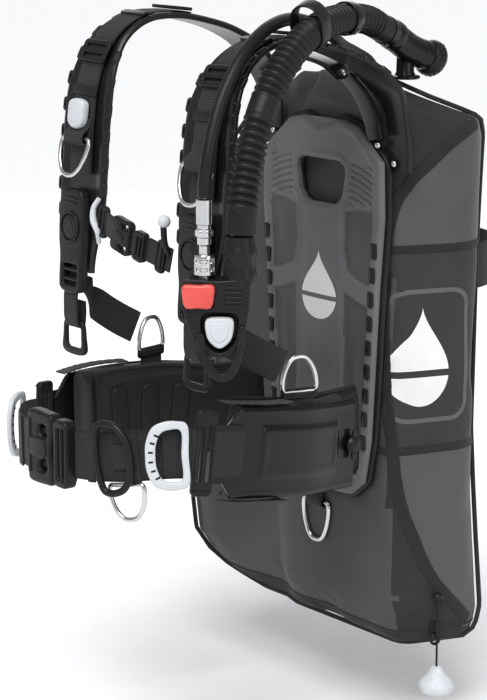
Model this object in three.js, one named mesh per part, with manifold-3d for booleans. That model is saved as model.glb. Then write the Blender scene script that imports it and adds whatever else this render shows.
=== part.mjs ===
// Buoyancy compensator vest for scuba diving, back-inflation style.
// Millimetres, +Z up. The wearer faces -Y and the wearer's left is +X. The origin is the middle of
// the strip on the cradle's rear face that the diving cylinder rests against.
import * as THREE from 'three';
import { mergeVertices } from 'three/addons/utils/BufferGeometryUtils.js';
import Module from 'manifold-3d';

const wasm = await Module();
wasm.setup();

// ---------------------------------------------------------------- driving dimensions
const GAP = 0.3; // left between pieces that touch
const WELD = 1e-4; // vertices closer than this are one vertex

const CYLINDER_R = 86; // 12 litre steel cylinder, 171 mm across
const PLATE = { front: -37.7, thick: 6 }; // rigid backplate
const PAD = { front: -45, thick: 7 }; // moulded back pad on it
const WING = { midY: -19.5, thick: 22, bottom: -362, top: 247, wall: 2.5, spread: 16 };
const CRADLE = { front: -4.4, halfWidth: 46, low: -90, high: 122 };
const BAND = { width: 50, thick: 2.4, z: 35, r: 89.4 };
const STRAP = { width: 80, narrow: 54, thick: 7, lift: 15 };
const WEBBING = { shoulder: 38, waist: 50, chest: 25, thick: 2.2 };
const RING_WIRE = 2.4; // radius of the stainless rings' wire
const BELT_Z = -109; // height of the waist belt at the front buckle
const HOSE_R = 15; // corrugated hose, over its ribs
const LP_HOSE_R = 6.5; // low-pressure hose
const CORD_R = 1.2; // dump cord
const INFLATOR = { x: 156, y: -304, turn: 50 }; // its axis, and the way its buttons face

// ---------------------------------------------------------------- finishes
const finish = (color, roughness, metalness = 0) => ({ color, roughness, metalness });
const FINISH = {
  pad: finish(0x54585b, 0.6),
  moulded: finish(0x1b1b1d, 0.45),
  gloss: finish(0x121214, 0.2),
  fabric: finish(0x3e3e41, 0.85),
  webbing: finish(0x202022, 0.9),
  rubber: finish(0x18181a, 0.7),
  light: finish(0xc4c9cf, 0.4),
  coral: finish(0xe0584f, 0.4),
  steel: finish(0xc9c9cb, 0.2, 1),
  bladder: finish(0x6a6f75, 0.6),
};

// ---------------------------------------------------------------- shape helpers
const v3 = (x, y, z) => new THREE.Vector3(x, y, z);
const UP = v3(0, 0, 1);
const ACROSS_X = v3(1, 0, 0);
const degrees = THREE.MathUtils.degToRad;

const vest = new THREE.Group();
vest.name = 'buoyancy_vest';

function addPiece(name, geometry, look, parent = vest) {
  const piece = new THREE.Mesh(geometry, new THREE.MeshStandardMaterial(look));
  piece.name = name;
  parent.add(piece);
  return piece;
}

function toSolid(geometry) {
  const bare = geometry.index ? geometry.toNonIndexed() : geometry.clone();
  bare.deleteAttribute('normal');
  bare.deleteAttribute('uv');
  const welded = mergeVertices(bare, WELD);
  const vertProperties = Float32Array.from(welded.attributes.position.array);
  const triVerts = Uint32Array.from(welded.index.array);
  return new wasm.Manifold(new wasm.Mesh({ numProp: 3, vertProperties, triVerts }));
}

function toGeometry(solid) {
  const mesh = solid.getMesh();
  const geometry = new THREE.BufferGeometry();
  geometry.setAttribute('position', new THREE.BufferAttribute(Float32Array.from(mesh.vertProperties), 3));
  geometry.setIndex(Array.from(mesh.triVerts));
  geometry.computeVertexNormals();
  return geometry;
}

function cut(base, ...tools) {
  return toGeometry(tools.reduce((solid, tool) => solid.subtract(toSolid(tool)), toSolid(base)));
}

function join(base, ...others) {
  return toGeometry(others.reduce((solid, other) => solid.add(toSolid(other)), toSolid(base)));
}

// A closed body through rings of points, with fan caps, or joined end to start when closed is true.
function loft(rings, closed = false) {
  const count = rings[0].length;
  const positions = rings.flat().flatMap((p) => [p.x, p.y, p.z]);
  const index = [];
  const spans = closed ? rings.length : rings.length - 1;
  for (let i = 0; i < spans; i += 1) {
    const here = i * count;
    const next = ((i + 1) % rings.length) * count;
    for (let j = 0; j < count; j += 1) {
      const k = (j + 1) % count;
      index.push(here + j, here + k, next + k, here + j, next + k, next + j);
    }
  }
  if (!closed) {
    const last = (rings.length - 1) * count;
    for (let j = 1; j < count - 1; j += 1) {
      index.push(0, j + 1, j, last, last + j, last + j + 1);
    }
  }
  const geometry = new THREE.BufferGeometry();
  geometry.setAttribute('position', new THREE.Float32BufferAttribute(positions, 3));
  geometry.setIndex(volume(positions, index) < 0 ? index.reverse() : index);
  geometry.computeVertexNormals();
  return geometry;
}

function volume(positions, index) {
  const corner = (i) => v3(...positions.slice(3 * index[i], 3 * index[i] + 3));
  let total = 0;
  for (let i = 0; i < index.length; i += 3) {
    total += corner(i).dot(corner(i + 1).cross(corner(i + 2)));
  }
  return total / 6;
}

// The directions of a flat band that follows a curve: along it, across its width, and out of its face.
function bandFrame(curve, t, across) {
  const along = curve.getTangentAt(t);
  const wide = across.clone().addScaledVector(along, -across.dot(along)).normalize();
  return { at: curve.getPointAt(t), wide, out: along.clone().cross(wide).normalize() };
}

// A flat band along a curve. width is a number or a function of t, offset moves it along its face's normal.
function ribbon(curve, { across, width, thick, steps, from = 0, to = 1, offset = 0 }) {
  const widthAt = typeof width === 'function' ? width : () => width;
  const rings = [];
  for (let i = 0; i <= steps; i += 1) {
    const t = from + ((to - from) * i) / steps;
    const { at, wide, out } = bandFrame(curve, t, across);
    const half = widthAt((i / steps)) / 2;
    const centre = at.clone().addScaledVector(out, offset);
    const corner = (w, h) => centre.clone().addScaledVector(wide, w).addScaledVector(out, h);
    const h = thick / 2;
    rings.push([corner(-half, -h), corner(half, -h), corner(half, h), corner(-half, h)]);
  }
  return loft(rings);
}

const spline = (points, closed = false) => new THREE.CatmullRomCurve3(
  points.map((p) => v3(...p)), closed, 'centripetal');

// A round tube along an open curve.
function tube(curve, radius, steps, sides) {
  const section = new THREE.Shape();
  section.absarc(0, 0, radius, 0, 2 * Math.PI);
  return new THREE.ExtrudeGeometry(section, { steps, curveSegments: sides, extrudePath: curve });
}

// A closed wire ring in its own plane: points are [across, up].
function wireRing(points, radius = RING_WIRE, segments = 20) {
  const curve = spline(points.map(([x, z]) => [x, 0, z]), true);
  return new THREE.TubeGeometry(curve, segments, radius, 6, true);
}

// A D ring hanging from its straight bar, which lies on the ring's own X axis.
const dRing = (width, drop, radius = RING_WIRE) => wireRing([
  [-width / 2, 0], [-width / 4, 1], [width / 4, 1], [width / 2, 0],
  [width * 0.46, -drop * 0.55], [width * 0.2, -drop * 0.95], [-width * 0.2, -drop * 0.95], [-width * 0.46, -drop * 0.55],
], radius);

function roundedRect(width, height, radius) {
  const w = width / 2;
  const h = height / 2;
  const shape = new THREE.Shape();
  shape.moveTo(-w + radius, -h);
  shape.lineTo(w - radius, -h);
  shape.absarc(w - radius, -h + radius, radius, -Math.PI / 2, 0);
  shape.lineTo(w, h - radius);
  shape.absarc(w - radius, h - radius, radius, 0, Math.PI / 2);
  shape.lineTo(-w + radius, h);
  shape.absarc(-w + radius, h - radius, radius, Math.PI / 2, Math.PI);
  shape.lineTo(-w, -h + radius);
  shape.absarc(-w + radius, -h + radius, radius, Math.PI, 1.5 * Math.PI);
  return shape;
}

const polygon = (points) => new THREE.Shape(points.map(([x, y]) => new THREE.Vector2(x, y)));
const mirrored = (half) => [...half, ...half.filter(([x]) => x > 0).reverse().map(([x, z]) => [-x, z])];

// A shape drawn as [x, z], extruded from y = front to y = front + depth.
function uprightSlab(shape, front, depth, curveSegments = 4) {
  const geometry = new THREE.ExtrudeGeometry(shape, { depth, bevelEnabled: false, curveSegments });
  return geometry.rotateX(Math.PI / 2).translate(0, front + depth, 0);
}

// A bevelled slab about its own centre, its face in the XZ plane.
function softSlab(width, height, depth, radius, bevel) {
  const shape = roundedRect(width - 2 * bevel, height - 2 * bevel, radius);
  const geometry = new THREE.ExtrudeGeometry(shape, {
    depth: depth - 2 * bevel, bevelThickness: bevel, bevelSize: bevel, bevelSegments: 2, curveSegments: 3,
  });
  return geometry.translate(0, 0, bevel - depth / 2).rotateX(Math.PI / 2);
}

const box = (x, y, z, sx, sy, sz) => new THREE.BoxGeometry(sx, sy, sz).translate(x, y, z);
const disc = (r, height, sides = 16) => new THREE.CylinderGeometry(r, r, height, sides).rotateX(Math.PI / 2);

// A round body about Z, from a profile of [radius, height] that goes up or down its outside.
function turned(profile, sides) {
  const rises = profile.reduce((sum, [r, z], i) => {
    const [nextR, nextZ] = profile[(i + 1) % profile.length];
    return sum + (nextZ - z) * (nextR + r);
  }, 0) > 0;
  const ordered = rises ? profile : [...profile].reverse();
  return new THREE.LatheGeometry(ordered.map(([r, z]) => new THREE.Vector2(r, z)), sides).rotateX(Math.PI / 2);
}

// ---------------------------------------------------------------- back pad and plate
function plateOutline(grow) {
  return polygon(mirrored([
    [0, 188 + grow], [30, 198 + grow], [54, 193 + grow], [96 + grow, 158], [98 + grow, 100], [91 + grow, 20],
    [85 + grow, -80], [81 + grow, -140], [72 + grow, -188], [52, -204 - grow], [0, -207 - grow],
  ]));
}

const HANDLE_HOLE = [[36, 152], [40, 146], [34, 116], [26, 110]];
const handleHole = () => uprightSlab(polygon(mirrored(HANDLE_HOLE)), -60, 40);

function backPad() {
  const panels = [];
  for (const side of [-1, 1]) {
    const upper = [[side * 38, 96], [side * 86, 104], [side * 82, 24], [side * 40, 34], [side * 34, 60]];
    const lower = [[side * 36, 18], [side * 81, 8], [side * 74, -150], [side * 38, -160]];
    for (const outline of [upper, lower]) {
      panels.push(uprightSlab(polygon(outline), PAD.front - 2, 4.5));
    }
    for (let rib = 0; rib < 4; rib += 1) {
      panels.push(box(side * 66, PAD.front, 148 - rib * 10, 34, 4, 4));
    }
  }
  return cut(uprightSlab(plateOutline(0), PAD.front, PAD.thick), handleHole(), ...panels);
}

function backplate() {
  const slots = [];
  for (const side of [-1, 1]) {
    for (const z of [84, 64, 18, -2, -22, -62]) {
      slots.push(box(side * (95 + z * 0.055), PLATE.front, z, 4, 20, 11));
    }
    slots.push(box(side * 22, PLATE.front, 35, 8, 20, 52), box(side * 22, PLATE.front, -110, 8, 20, 52));
  }
  const ears = [-1, 1].map((side) => uprightSlab(
    polygon([[side * 88, 130], [side * 122, 152], [side * 122, 184], [side * 92, 184]]), PLATE.front, PLATE.thick));
  const body = join(uprightSlab(plateOutline(5), PLATE.front, PLATE.thick), ...ears);
  return cut(body, handleHole(), ...slots);
}

// ---------------------------------------------------------------- wing
// The wing is a flat air cell. Its right half spreads sideways and its left half folds back round the
// cylinder. It is drawn over s, the distance along its width from the middle, and the height z.
const FOLD = [[247, 60], [200, 68], [130, 78], [60, 84], [-140, 84], [-200, 90], [-260, 98], [-320, 106], [-362, 110]];
const OUTER_X = [[247, 92], [205, 113], [60, 109], [-140, 105], [-260, 121], [-362, 137]];
const LEFT_REACH = [[247, 58], [236, 85], [222, 118], [210, 150], [204, 166], [196, 186], [180, 196],
  [-200, 198], [-330, 206], [-352, 196], [-362, 178]];
const RIGHT_REACH = [[247, 58], [232, 96], [212, 128], [180, 166], [140, 204], [95, 230], [45, 248], [-30, 260],
  [-160, 262], [-250, 256], [-312, 248], [-334, 226], [-350, 190], [-362, 120]];

function lookUp(table, z) {
  for (let i = 1; i < table.length; i += 1) {
    const [highZ, high] = table[i - 1];
    const [lowZ, low] = table[i];
    if (z >= lowZ) {
      return low + ((high - low) * (z - lowZ)) / (highZ - lowZ);
    }
  }
  return table[table.length - 1][1];
}

const BEND = 26; // length of the arc at the fold
const OUTER_Y = 66; // how far back the folded half reaches before it curls in
const CURL = degrees(118); // the way that its edge faces after the curl

// The wing's middle surface at height z: the point at distance s, and the direction along s there.
function wingPoint(s, z) {
  const fold = lookUp(FOLD, z);
  const side = Math.atan2(OUTER_Y - WING.midY, lookUp(OUTER_X, z) - fold);
  const panel = Math.hypot(OUTER_Y - WING.midY, lookUp(OUTER_X, z) - fold);
  let x = 0;
  let y = WING.midY;
  let angle = 0;
  const step = 2;
  if (s < 0) {
    for (let walked = 0; walked < -s; walked += step) {
      const reach = Math.min(step, -s - walked);
      angle = degrees(WING.spread) * Math.max(0, (walked - 120) / 142) - degrees(16) * (walked > 62 && walked < 92);
      x -= reach * Math.cos(angle);
      y -= reach * Math.sin(angle);
    }
    return { x, y, angle };
  }
  for (let walked = 0; walked < s; walked += step) {
    const reach = Math.min(step, s - walked);
    const folding = THREE.MathUtils.clamp((walked - fold + BEND / 2) / BEND, 0, 1);
    const curling = THREE.MathUtils.clamp((walked - fold - panel + BEND / 2) / BEND, 0, 1);
    angle = side * folding + (CURL - side) * curling;
    x += reach * Math.cos(angle);
    y += reach * Math.sin(angle);
  }
  return { x, y, angle };
}

// A closed sheet over the wing's outline. inset draws its edge in, thick is its full thickness, and
// margin leaves out that many cells of the grid round the edge.
function wingSheet(rows, columns, thick, inset, margin = 0) {
  const front = [];
  const back = [];
  for (let i = margin; i <= rows - margin; i += 1) {
    const v = i / rows;
    const eased = 0.5 - 0.5 * Math.cos(Math.PI * v);
    const share = 0.55 * eased + 0.45 * v;
    const z = WING.top - inset - (WING.top - WING.bottom - 2 * inset) * share;
    const left = lookUp(LEFT_REACH, z) - inset;
    const right = lookUp(RIGHT_REACH, z) - inset;
    for (let j = margin; j <= columns - margin; j += 1) {
      const s = -right + ((left + right) * j) / columns;
      const edge = Math.min(s + right, left - s, (WING.top - inset - z), (z - WING.bottom - inset));
      const half = (thick / 2) * Math.sqrt(Math.min(1, 0.06 + edge / 30));
      const { x, y, angle } = wingPoint(s, z);
      front.push(v3(x + Math.sin(angle) * half, y - Math.cos(angle) * half, z));
      back.push(v3(x - Math.sin(angle) * half, y + Math.cos(angle) * half, z));
    }
  }
  const high = rows - 2 * margin;
  const across = columns - 2 * margin;
  const wide = across + 1;
  const all = [...front, ...back];
  const offset = front.length;
  const index = [];
  const quad = (a, b, c, d) => index.push(a, b, c, a, c, d);
  for (let i = 0; i < high; i += 1) {
    for (let j = 0; j < across; j += 1) {
      const a = i * wide + j;
      quad(a, a + wide, a + wide + 1, a + 1);
      quad(offset + a, offset + a + 1, offset + a + wide + 1, offset + a + wide);
    }
    const start = i * wide;
    const end = start + across;
    quad(start, offset + start, offset + start + wide, start + wide);
    quad(end, end + wide, offset + end + wide, offset + end);
  }
  for (let j = 0; j < across; j += 1) {
    const last = high * wide + j;
    quad(j, j + 1, offset + j + 1, offset + j);
    quad(last, offset + last, offset + last + 1, last + 1);
  }
  const positions = all.flatMap((p) => [p.x, p.y, p.z]);
  const geometry = new THREE.BufferGeometry();
  geometry.setAttribute('position', new THREE.Float32BufferAttribute(positions, 3));
  geometry.setIndex(volume(positions, index) < 0 ? index.reverse() : index);
  geometry.computeVertexNormals();
  return geometry;
}

const DUMP = { s: 150, z: -322, r: 14 }; // rear dump valve, low on the folded half

function dumpPlace(out) {
  const { x, y, angle } = wingPoint(DUMP.s, DUMP.z);
  return { x: x + Math.sin(angle) * out, y: y - Math.cos(angle) * out, angle };
}

function dumpBore(radius) {
  const { x, y, angle } = dumpPlace(0);
  return disc(radius, 60, 12).rotateX(Math.PI / 2).rotateZ(angle).translate(x, y, DUMP.z);
}

// ---------------------------------------------------------------- cradle, band and cam buckle
function tankCradle() {
  const strip = 14;
  const outline = [[-CRADLE.halfWidth, 2], [-CRADLE.halfWidth + 10, CRADLE.front],
    [CRADLE.halfWidth - 10, CRADLE.front], [CRADLE.halfWidth, 2]];
  for (const x of [46, 36, 25, strip, -strip, -25, -36, -46]) {
    outline.push([x, Math.abs(x) <= strip ? 0 : CYLINDER_R - Math.sqrt(CYLINDER_R ** 2 - x ** 2) - 0.3]);
  }
  const height = CRADLE.high - CRADLE.low;
  return new THREE.ExtrudeGeometry(polygon(outline), { depth: height, bevelEnabled: false })
    .translate(0, 0, CRADLE.low);
}

function tankBand() {
  const points = [[-50, -3.2, 0], [-40, -6, 0], [-20, -6.6, 0], [0, -6.6, 0], [20, -6.6, 0], [40, -6, 0], [50, -3.2, 0],
    [61, 7, 0]];
  for (let angle = 55; angle <= 305; angle += 25) {
    const a = degrees(angle);
    points.push([BAND.r * Math.sin(a), CYLINDER_R + 1 - BAND.r * Math.cos(a), 0]);
  }
  points.push([-61, 7, 0]);
  const curve = spline(points, true);
  const rings = [];
  const steps = 44;
  for (let i = 0; i < steps; i += 1) {
    const { at, out } = bandFrame(curve, i / steps, UP);
    const corner = (h, w) => at.clone().addScaledVector(out, h).add(v3(0, 0, BAND.z + w));
    const h = BAND.thick / 2;
    const w = BAND.width / 2;
    rings.push([corner(-h, -w), corner(-h, w), corner(h, w), corner(h, -w)]);
  }
  return loft(rings, true);
}

// Rounded arc plates of the cam buckle, about the cylinder's axis. from and to are angles in degrees.
function arcPlate(inner, outer, from, to, halfHeight) {
  const shape = new THREE.Shape();
  shape.absarc(0, 0, outer, degrees(from), degrees(to), false);
  shape.absarc(0, 0, inner, degrees(to), degrees(from), true);
  return new THREE.ExtrudeGeometry(shape, { depth: 2 * halfHeight, bevelEnabled: false, curveSegments: 5 })
    .translate(0, 0, -halfHeight);
}

const CAM = { start: 100, earEnd: 107, end: 132, r: 91.2, thick: 5, pin: 103 };

function addCamBuckle() {
  const group = new THREE.Group();
  group.position.set(0, CYLINDER_R + 1, BAND.z);
  const pinR = CAM.r + CAM.thick + 5.5;
  const pinAt = [pinR * Math.cos(degrees(CAM.pin)), pinR * Math.sin(degrees(CAM.pin))];
  const ears = [-1, 1].map((side) => arcPlate(CAM.r + CAM.thick - 1, CAM.r + CAM.thick + 9, CAM.start, CAM.earEnd, 2.5)
    .translate(0, 0, side * 26));
  const pin = new THREE.CylinderGeometry(2.5, 2.5, 54, 10).rotateX(Math.PI / 2).translate(...pinAt, 0);
  const body = join(arcPlate(CAM.r, CAM.r + CAM.thick, CAM.start, CAM.end, 28.5), ...ears, pin);
  addPiece('cam_buckle', body, FINISH.moulded, group);
  const plate = arcPlate(CAM.r + CAM.thick + 1.5, CAM.r + CAM.thick + 8.5, CAM.start + 1, CAM.end + 2, 22.5);
  const bore = new THREE.CylinderGeometry(2.8, 2.8, 70, 12).rotateX(Math.PI / 2).translate(...pinAt, 0);
  addPiece('cam_lever', cut(plate, bore), FINISH.moulded, group);
  vest.add(group);
}

// ---------------------------------------------------------------- shoulder straps
function strapCurve(side) {
  const lift = side < 0 ? STRAP.lift : 0;
  const raised = (z) => z + lift * Math.max(0, Math.min(1, (z - 180) / 90));
  return spline([
    [108, -27.6, 150], [107, -27.6, 182], [103, -35, 222], [100, -62, 253], [100, -97, 271], [100, -135, 283],
    [100, -175, 290], [101, -212, 287], [102, -243, 268], [103, -262, 238], [104, -270, 200], [104, -274, 155],
    [104, -278, 105], [104, -281, 45],
  ].map(([x, y, z]) => [side * x, y, raised(z)]));
}

const strapWidth = (t) => {
  const shoulder = THREE.MathUtils.smoothstep(t, 0.1, 0.18);
  const chest = THREE.MathUtils.smoothstep(t, 0.5, 0.7);
  const tip = THREE.MathUtils.smoothstep(t, 0.86, 1);
  return 32 + (STRAP.narrow - 32) * shoulder + (STRAP.width - STRAP.narrow) * chest - 34 * tip;
};

function shoulderStrap(side) {
  const curve = strapCurve(side);
  const body = ribbon(curve, { across: ACROSS_X, width: strapWidth, thick: STRAP.thick, steps: 30 });
  const slots = [];
  for (const t of [0.3, 0.42, 0.66, 0.74, 0.82]) {
    const { at, wide, out } = bandFrame(curve, t, ACROSS_X);
    const centre = at.clone().addScaledVector(wide, -side * (strapWidth(t) / 2 - 7));
    const along = out.clone().cross(wide);
    const turn = new THREE.Matrix4().makeBasis(wide, out, along.negate()).setPosition(centre);
    slots.push(new THREE.BoxGeometry(5, 20, 13).applyMatrix4(turn));
  }
  return cut(body, ...slots);
}

// A group that sits on the strap's face at t, with Y into the strap and Z up along it.
function onStrap(side, t, offset) {
  const curve = strapCurve(side);
  const { at, wide, out } = bandFrame(curve, t, ACROSS_X);
  const along = out.clone().cross(wide);
  const group = new THREE.Group();
  const spot = at.clone().addScaledVector(out, offset);
  group.applyMatrix4(new THREE.Matrix4().makeBasis(wide, out.clone().negate(), along).setPosition(spot));
  vest.add(group);
  return group;
}

const STRAP_FACE = STRAP.thick / 2;
const WEB_TOP = STRAP_FACE + 3 * GAP + WEBBING.thick;

function pullRing() {
  const outline = new THREE.Shape();
  outline.moveTo(-13, 0);
  outline.lineTo(13, 0);
  outline.quadraticCurveTo(17, 0, 18, -5);
  outline.lineTo(21, -28);
  outline.quadraticCurveTo(21, -36, 12, -36);
  outline.lineTo(-12, -36);
  outline.quadraticCurveTo(-21, -36, -21, -28);
  outline.lineTo(-18, -5);
  outline.quadraticCurveTo(-17, 0, -13, 0);
  const hole = roundedRect(27, 24, 5);
  const opening = uprightSlab(hole, -10, 20, 3).translate(0, 0, -18);
  return cut(uprightSlab(outline, -2.5, 5, 3), opening);
}

function addShoulder(side) {
  const name = side > 0 ? 'left' : 'right';
  const curve = strapCurve(side);
  addPiece(`shoulder_strap_${name}`, shoulderStrap(side), FINISH.moulded);
  const web = ribbon(curve, {
    across: ACROSS_X, width: WEBBING.shoulder, thick: WEBBING.thick, steps: 18, from: 0.4, to: 0.82,
    offset: STRAP_FACE + 3 * GAP + WEBBING.thick / 2,
  });
  addPiece(`strap_webbing_${name}`, web, FINISH.webbing);

  const ringSpot = onStrap(side, 0.758, WEB_TOP + 6);
  addPiece(`chest_ring_${name}`, dRing(46, 38).rotateX(degrees(-12)), FINISH.steel, ringSpot);

  const buckleSpot = onStrap(side, 0.944, STRAP_FACE + GAP + 6);
  const plate = softSlab(44, 108, 12, 14, 2);
  const emblem = disc(15, 3, 18).rotateX(Math.PI / 2).translate(0, -6, 14);
  const windowCut = box(0, -6, -30, 24, 8, 18);
  addPiece(`strap_buckle_${name}`, cut(join(plate, emblem), windowCut), FINISH.moulded, buckleSpot);

  addPiece(`pull_ring_${name}`, pullRing().translate(side * 106, -288, -6), FINISH.moulded);

  const drop = spline([[107, -277, 40], [109, -272, 18], [116, -248, 0], [122, -222, -16], [125, -198, -29]]
    .map(([x, y, z]) => [side * x, y, z]));
  const slanted = v3(side, 0, 1).normalize();
  const lower = ribbon(drop, { across: slanted, width: WEBBING.shoulder - 8, thick: WEBBING.thick, steps: 10 });
  addPiece(`lower_webbing_${name}`, lower, FINISH.webbing);

  const hipSpot = new THREE.Group();
  hipSpot.position.set(side * 127, -176, -55);
  hipSpot.rotation.z = degrees(side * 78);
  addPiece(`hip_ring_${name}`, dRing(36, 34).rotateY(Math.PI), FINISH.steel, hipSpot);
  vest.add(hipSpot);
}

// ---------------------------------------------------------------- neck yoke
function neckYoke() {
  const arch = spline([[-63, -62, 246], [-40, -64, 258], [0, -66, 263], [40, -64, 258], [63, -62, 246]]);
  return ribbon(arch, { across: v3(0, 1, 0), width: 30, thick: 4.5, steps: 14 });
}

// ---------------------------------------------------------------- sternum strap
function addSternumStrap() {
  const line = spline([[-62, -285, 106], [-35, -291, 101], [0, -294, 93], [35, -292, 86], [64, -287.5, 79]]);
  const chest = { across: UP, thick: WEBBING.thick };
  const spans = { sternum_webbing_right: [0, 0.29], sternum_webbing_left: [0.75, 1] };
  for (const [name, [from, to]] of Object.entries(spans)) {
    addPiece(name, ribbon(line, { ...chest, width: WEBBING.chest, steps: 5, from, to }), FINISH.webbing);
  }
  const place = (t) => {
    const { at } = bandFrame(line, t, UP);
    const group = new THREE.Group();
    group.position.copy(at);
    group.rotation.y = degrees(13);
    vest.add(group);
    return group;
  };
  const shell = softSlab(30, 36, 9, 6, 1.5);
  const cavity = box(8, 0, 0, 26, 5, 24);
  addPiece('sternum_socket', cut(shell, cavity), FINISH.moulded, place(0.42));
  const block = softSlab(18, 32, 9, 5, 1.5).translate(12.6, 0, 0);
  const prongs = [-1, 1].map((side) => box(-3, 0, side * 8, 18, 3.4, 4));
  addPiece('sternum_tongue', join(block, ...prongs), FINISH.moulded, place(0.56));
}

// ---------------------------------------------------------------- waist belt
// Points of the belt's outer face from the back pad to the front, for the left side.
const BELT = [[117, -44, -123], [121, -80, -124], [130, -125, -122], [143, -175, -116], [150, -225, -108],
  [151, -268, -102], [147, -304, -98], [134, -338, -95], [112, -362, -98], [80, -377, -103], [40, -387, -107],
  [0, -390, BELT_Z]];
const DROOP = 22; // how much lower the right half hangs at its pocket handle
const beltCurve = (side) => spline(BELT.map(([x, y, z]) => {
  const sag = side < 0 ? DROOP * Math.min(1, x / 120) * THREE.MathUtils.smoothstep(-y, 150, 320) : 0;
  return [side * x, y, z - sag];
}));

function beltBand(side, spec) {
  return ribbon(beltCurve(side), { across: UP, ...spec, offset: -side * spec.offset });
}

// A group that hangs on the belt's face at t: X along the belt towards the front, Y into the belt.
function onBelt(side, t, offset, lower = 0) {
  const { at, wide, out } = bandFrame(beltCurve(side), t, UP);
  const group = new THREE.Group();
  const inward = out.clone().multiplyScalar(side);
  const spot = at.clone().addScaledVector(inward, -offset).addScaledVector(UP, -lower);
  const along = inward.clone().cross(wide);
  group.applyMatrix4(new THREE.Matrix4().makeBasis(along, inward, wide).setPosition(spot));
  vest.add(group);
  return group;
}

function pocketHandle() {
  const outline = new THREE.Shape();
  outline.moveTo(-17, -32);
  outline.lineTo(2, -34);
  outline.quadraticCurveTo(24, -30, 24, 0);
  outline.quadraticCurveTo(24, 30, 2, 34);
  outline.lineTo(-17, 32);
  const inner = new THREE.Shape();
  inner.moveTo(-10, -25);
  inner.lineTo(1, -26);
  inner.quadraticCurveTo(14, -23, 14, 0);
  inner.quadraticCurveTo(14, 23, 1, 26);
  inner.lineTo(-10, 25);
  const holes = [-50, -30, -10, 10, 30, 50].map((angle) => disc(1.6, 20, 8).rotateX(Math.PI / 2)
    .translate(1 + 18 * Math.cos(degrees(angle)), 0, 27.5 * Math.sin(degrees(angle))));
  return cut(uprightSlab(outline, -2.5, 5, 6), uprightSlab(inner, -10, 20, 6), ...holes);
}

function addHipSide(side) {
  const name = side > 0 ? 'left' : 'right';
  const padCurve = { width: 104, thick: 13, steps: 14, from: 0.01, to: 0.5, offset: -38.8 };
  addPiece(`hip_pad_${name}`, beltBand(side, padCurve), FINISH.fabric);
  const pocket = { width: (t) => 90 - 10 * t, thick: 22, steps: 12, from: 0.13, to: 0.52, offset: -20 };
  addPiece(`weight_pocket_${name}`, beltBand(side, pocket), FINISH.fabric);
  const narrowing = (t) => 92 - 46 * THREE.MathUtils.smoothstep(t, 0.72, 0.98);
  const panel = { width: narrowing, thick: 5, steps: 16, from: 0.12, to: 0.565, offset: -5.5 };
  addPiece(`hip_panel_${name}`, beltBand(side, panel), FINISH.gloss);

  const frame = softSlab(22, 86, 7, 5, 1.5);
  const windows = [-5, 5].map((x) => box(x, 0, 0, 4.5, 20, 56));
  addPiece(`ladder_buckle_${name}`, cut(frame, ...windows), FINISH.moulded, onBelt(side, 0.595, -5.5));
  const web = { width: WEBBING.waist, thick: WEBBING.thick, steps: 12, from: 0.625, to: 0.91, offset: -5.5 };
  addPiece(`waist_webbing_${name}`, beltBand(side, web), FINISH.webbing);
  const handle = side > 0 ? pocketHandle().rotateZ(Math.PI) : pocketHandle();
  addPiece(`pocket_handle_${name}`, handle, FINISH.light, onBelt(side, 0.675, 3.5));
}

function addWaistFront() {
  const half = softSlab(44, 74, 15, 9, 2);
  const cavity = box(8, 0, 0, 40, 8, 50);
  const socket = new THREE.Group();
  socket.position.set(-14, -388, BELT_Z);
  addPiece('waist_socket', cut(half, cavity), FINISH.moulded, socket);
  vest.add(socket);
  const block = softSlab(24, 70, 15, 8, 2).translate(20.6, 0, 0);
  const prongs = [-1, 0, 1].map((lane) => box(-5, 0, lane * 17, 34, 5, lane === 0 ? 8 : 7));
  const tongue = new THREE.Group();
  tongue.position.copy(socket.position);
  tongue.position.x += 14.2;
  addPiece('waist_tongue', join(block, ...prongs), FINISH.moulded, tongue);
  vest.add(tongue);

  const band = [[-15, 32], [-15, -32], [5, -32], [17, -16], [17, 16], [5, 32]];
  const ring = new THREE.TubeGeometry(spline(band.map(([x, z]) => [x, 0, z]), true), 24, 3.6, 6, true);
  addPiece('belt_ring', ring, FINISH.moulded, onBelt(1, 0.8, 3));
  addPiece('belt_steel_ring', dRing(38, 34), FINISH.steel, onBelt(1, 0.79, -5.5, 29));
}

// ---------------------------------------------------------------- hoses and elbow
const CORRUGATED = [[171.4, -285.6, 119.4], [171.2, -282.5, 150], [169, -270, 200], [163, -248, 243], [155, -219, 275],
  [145, -186, 297], [130, -148, 308], [113, -108, 310], [98, -66, 306], [88, -34, 294]];
const LP_HOSE = [[149.6, -311.7, 154], [149.5, -310, 175], [147, -301, 208], [142, -284, 245], [135, -256, 280],
  [122, -222, 301], [106, -186, 310], [90, -152, 310], [76, -116, 302], [62, -84, 290], [44, -52, 276], [30, -22, 266],
  [22, 4, 254], [20, 20, 232], [20, 27, 195], [20, 28, 150], [20, 28, 104]];

function addElbow() {
  const hose = spline(CORRUGATED);
  const onward = (reach) => hose.getPointAt(1).addScaledVector(hose.getTangentAt(1), reach).toArray();
  const spine = spline([onward(GAP), onward(15), [82, 6, 273], [83, 28, 264]]);
  const foot = new THREE.CylinderGeometry(9, 11, 26, 14).rotateX(Math.PI / 2).translate(76, 6, 254);
  addPiece('hose_elbow', join(tube(spine, 16, 8, 14), foot), FINISH.gloss);
  const cap = turned([[0, 0], [17, 0], [19, 3], [18, 14], [13, 19], [0, 19]], 16);
  const { at, along } = { at: spine.getPointAt(1), along: spine.getTangentAt(1) };
  cap.applyQuaternion(new THREE.Quaternion().setFromUnitVectors(UP, along));
  cap.translate(...at.addScaledVector(along, GAP));
  addPiece('overpressure_cap', cap, FINISH.moulded);
}

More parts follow.
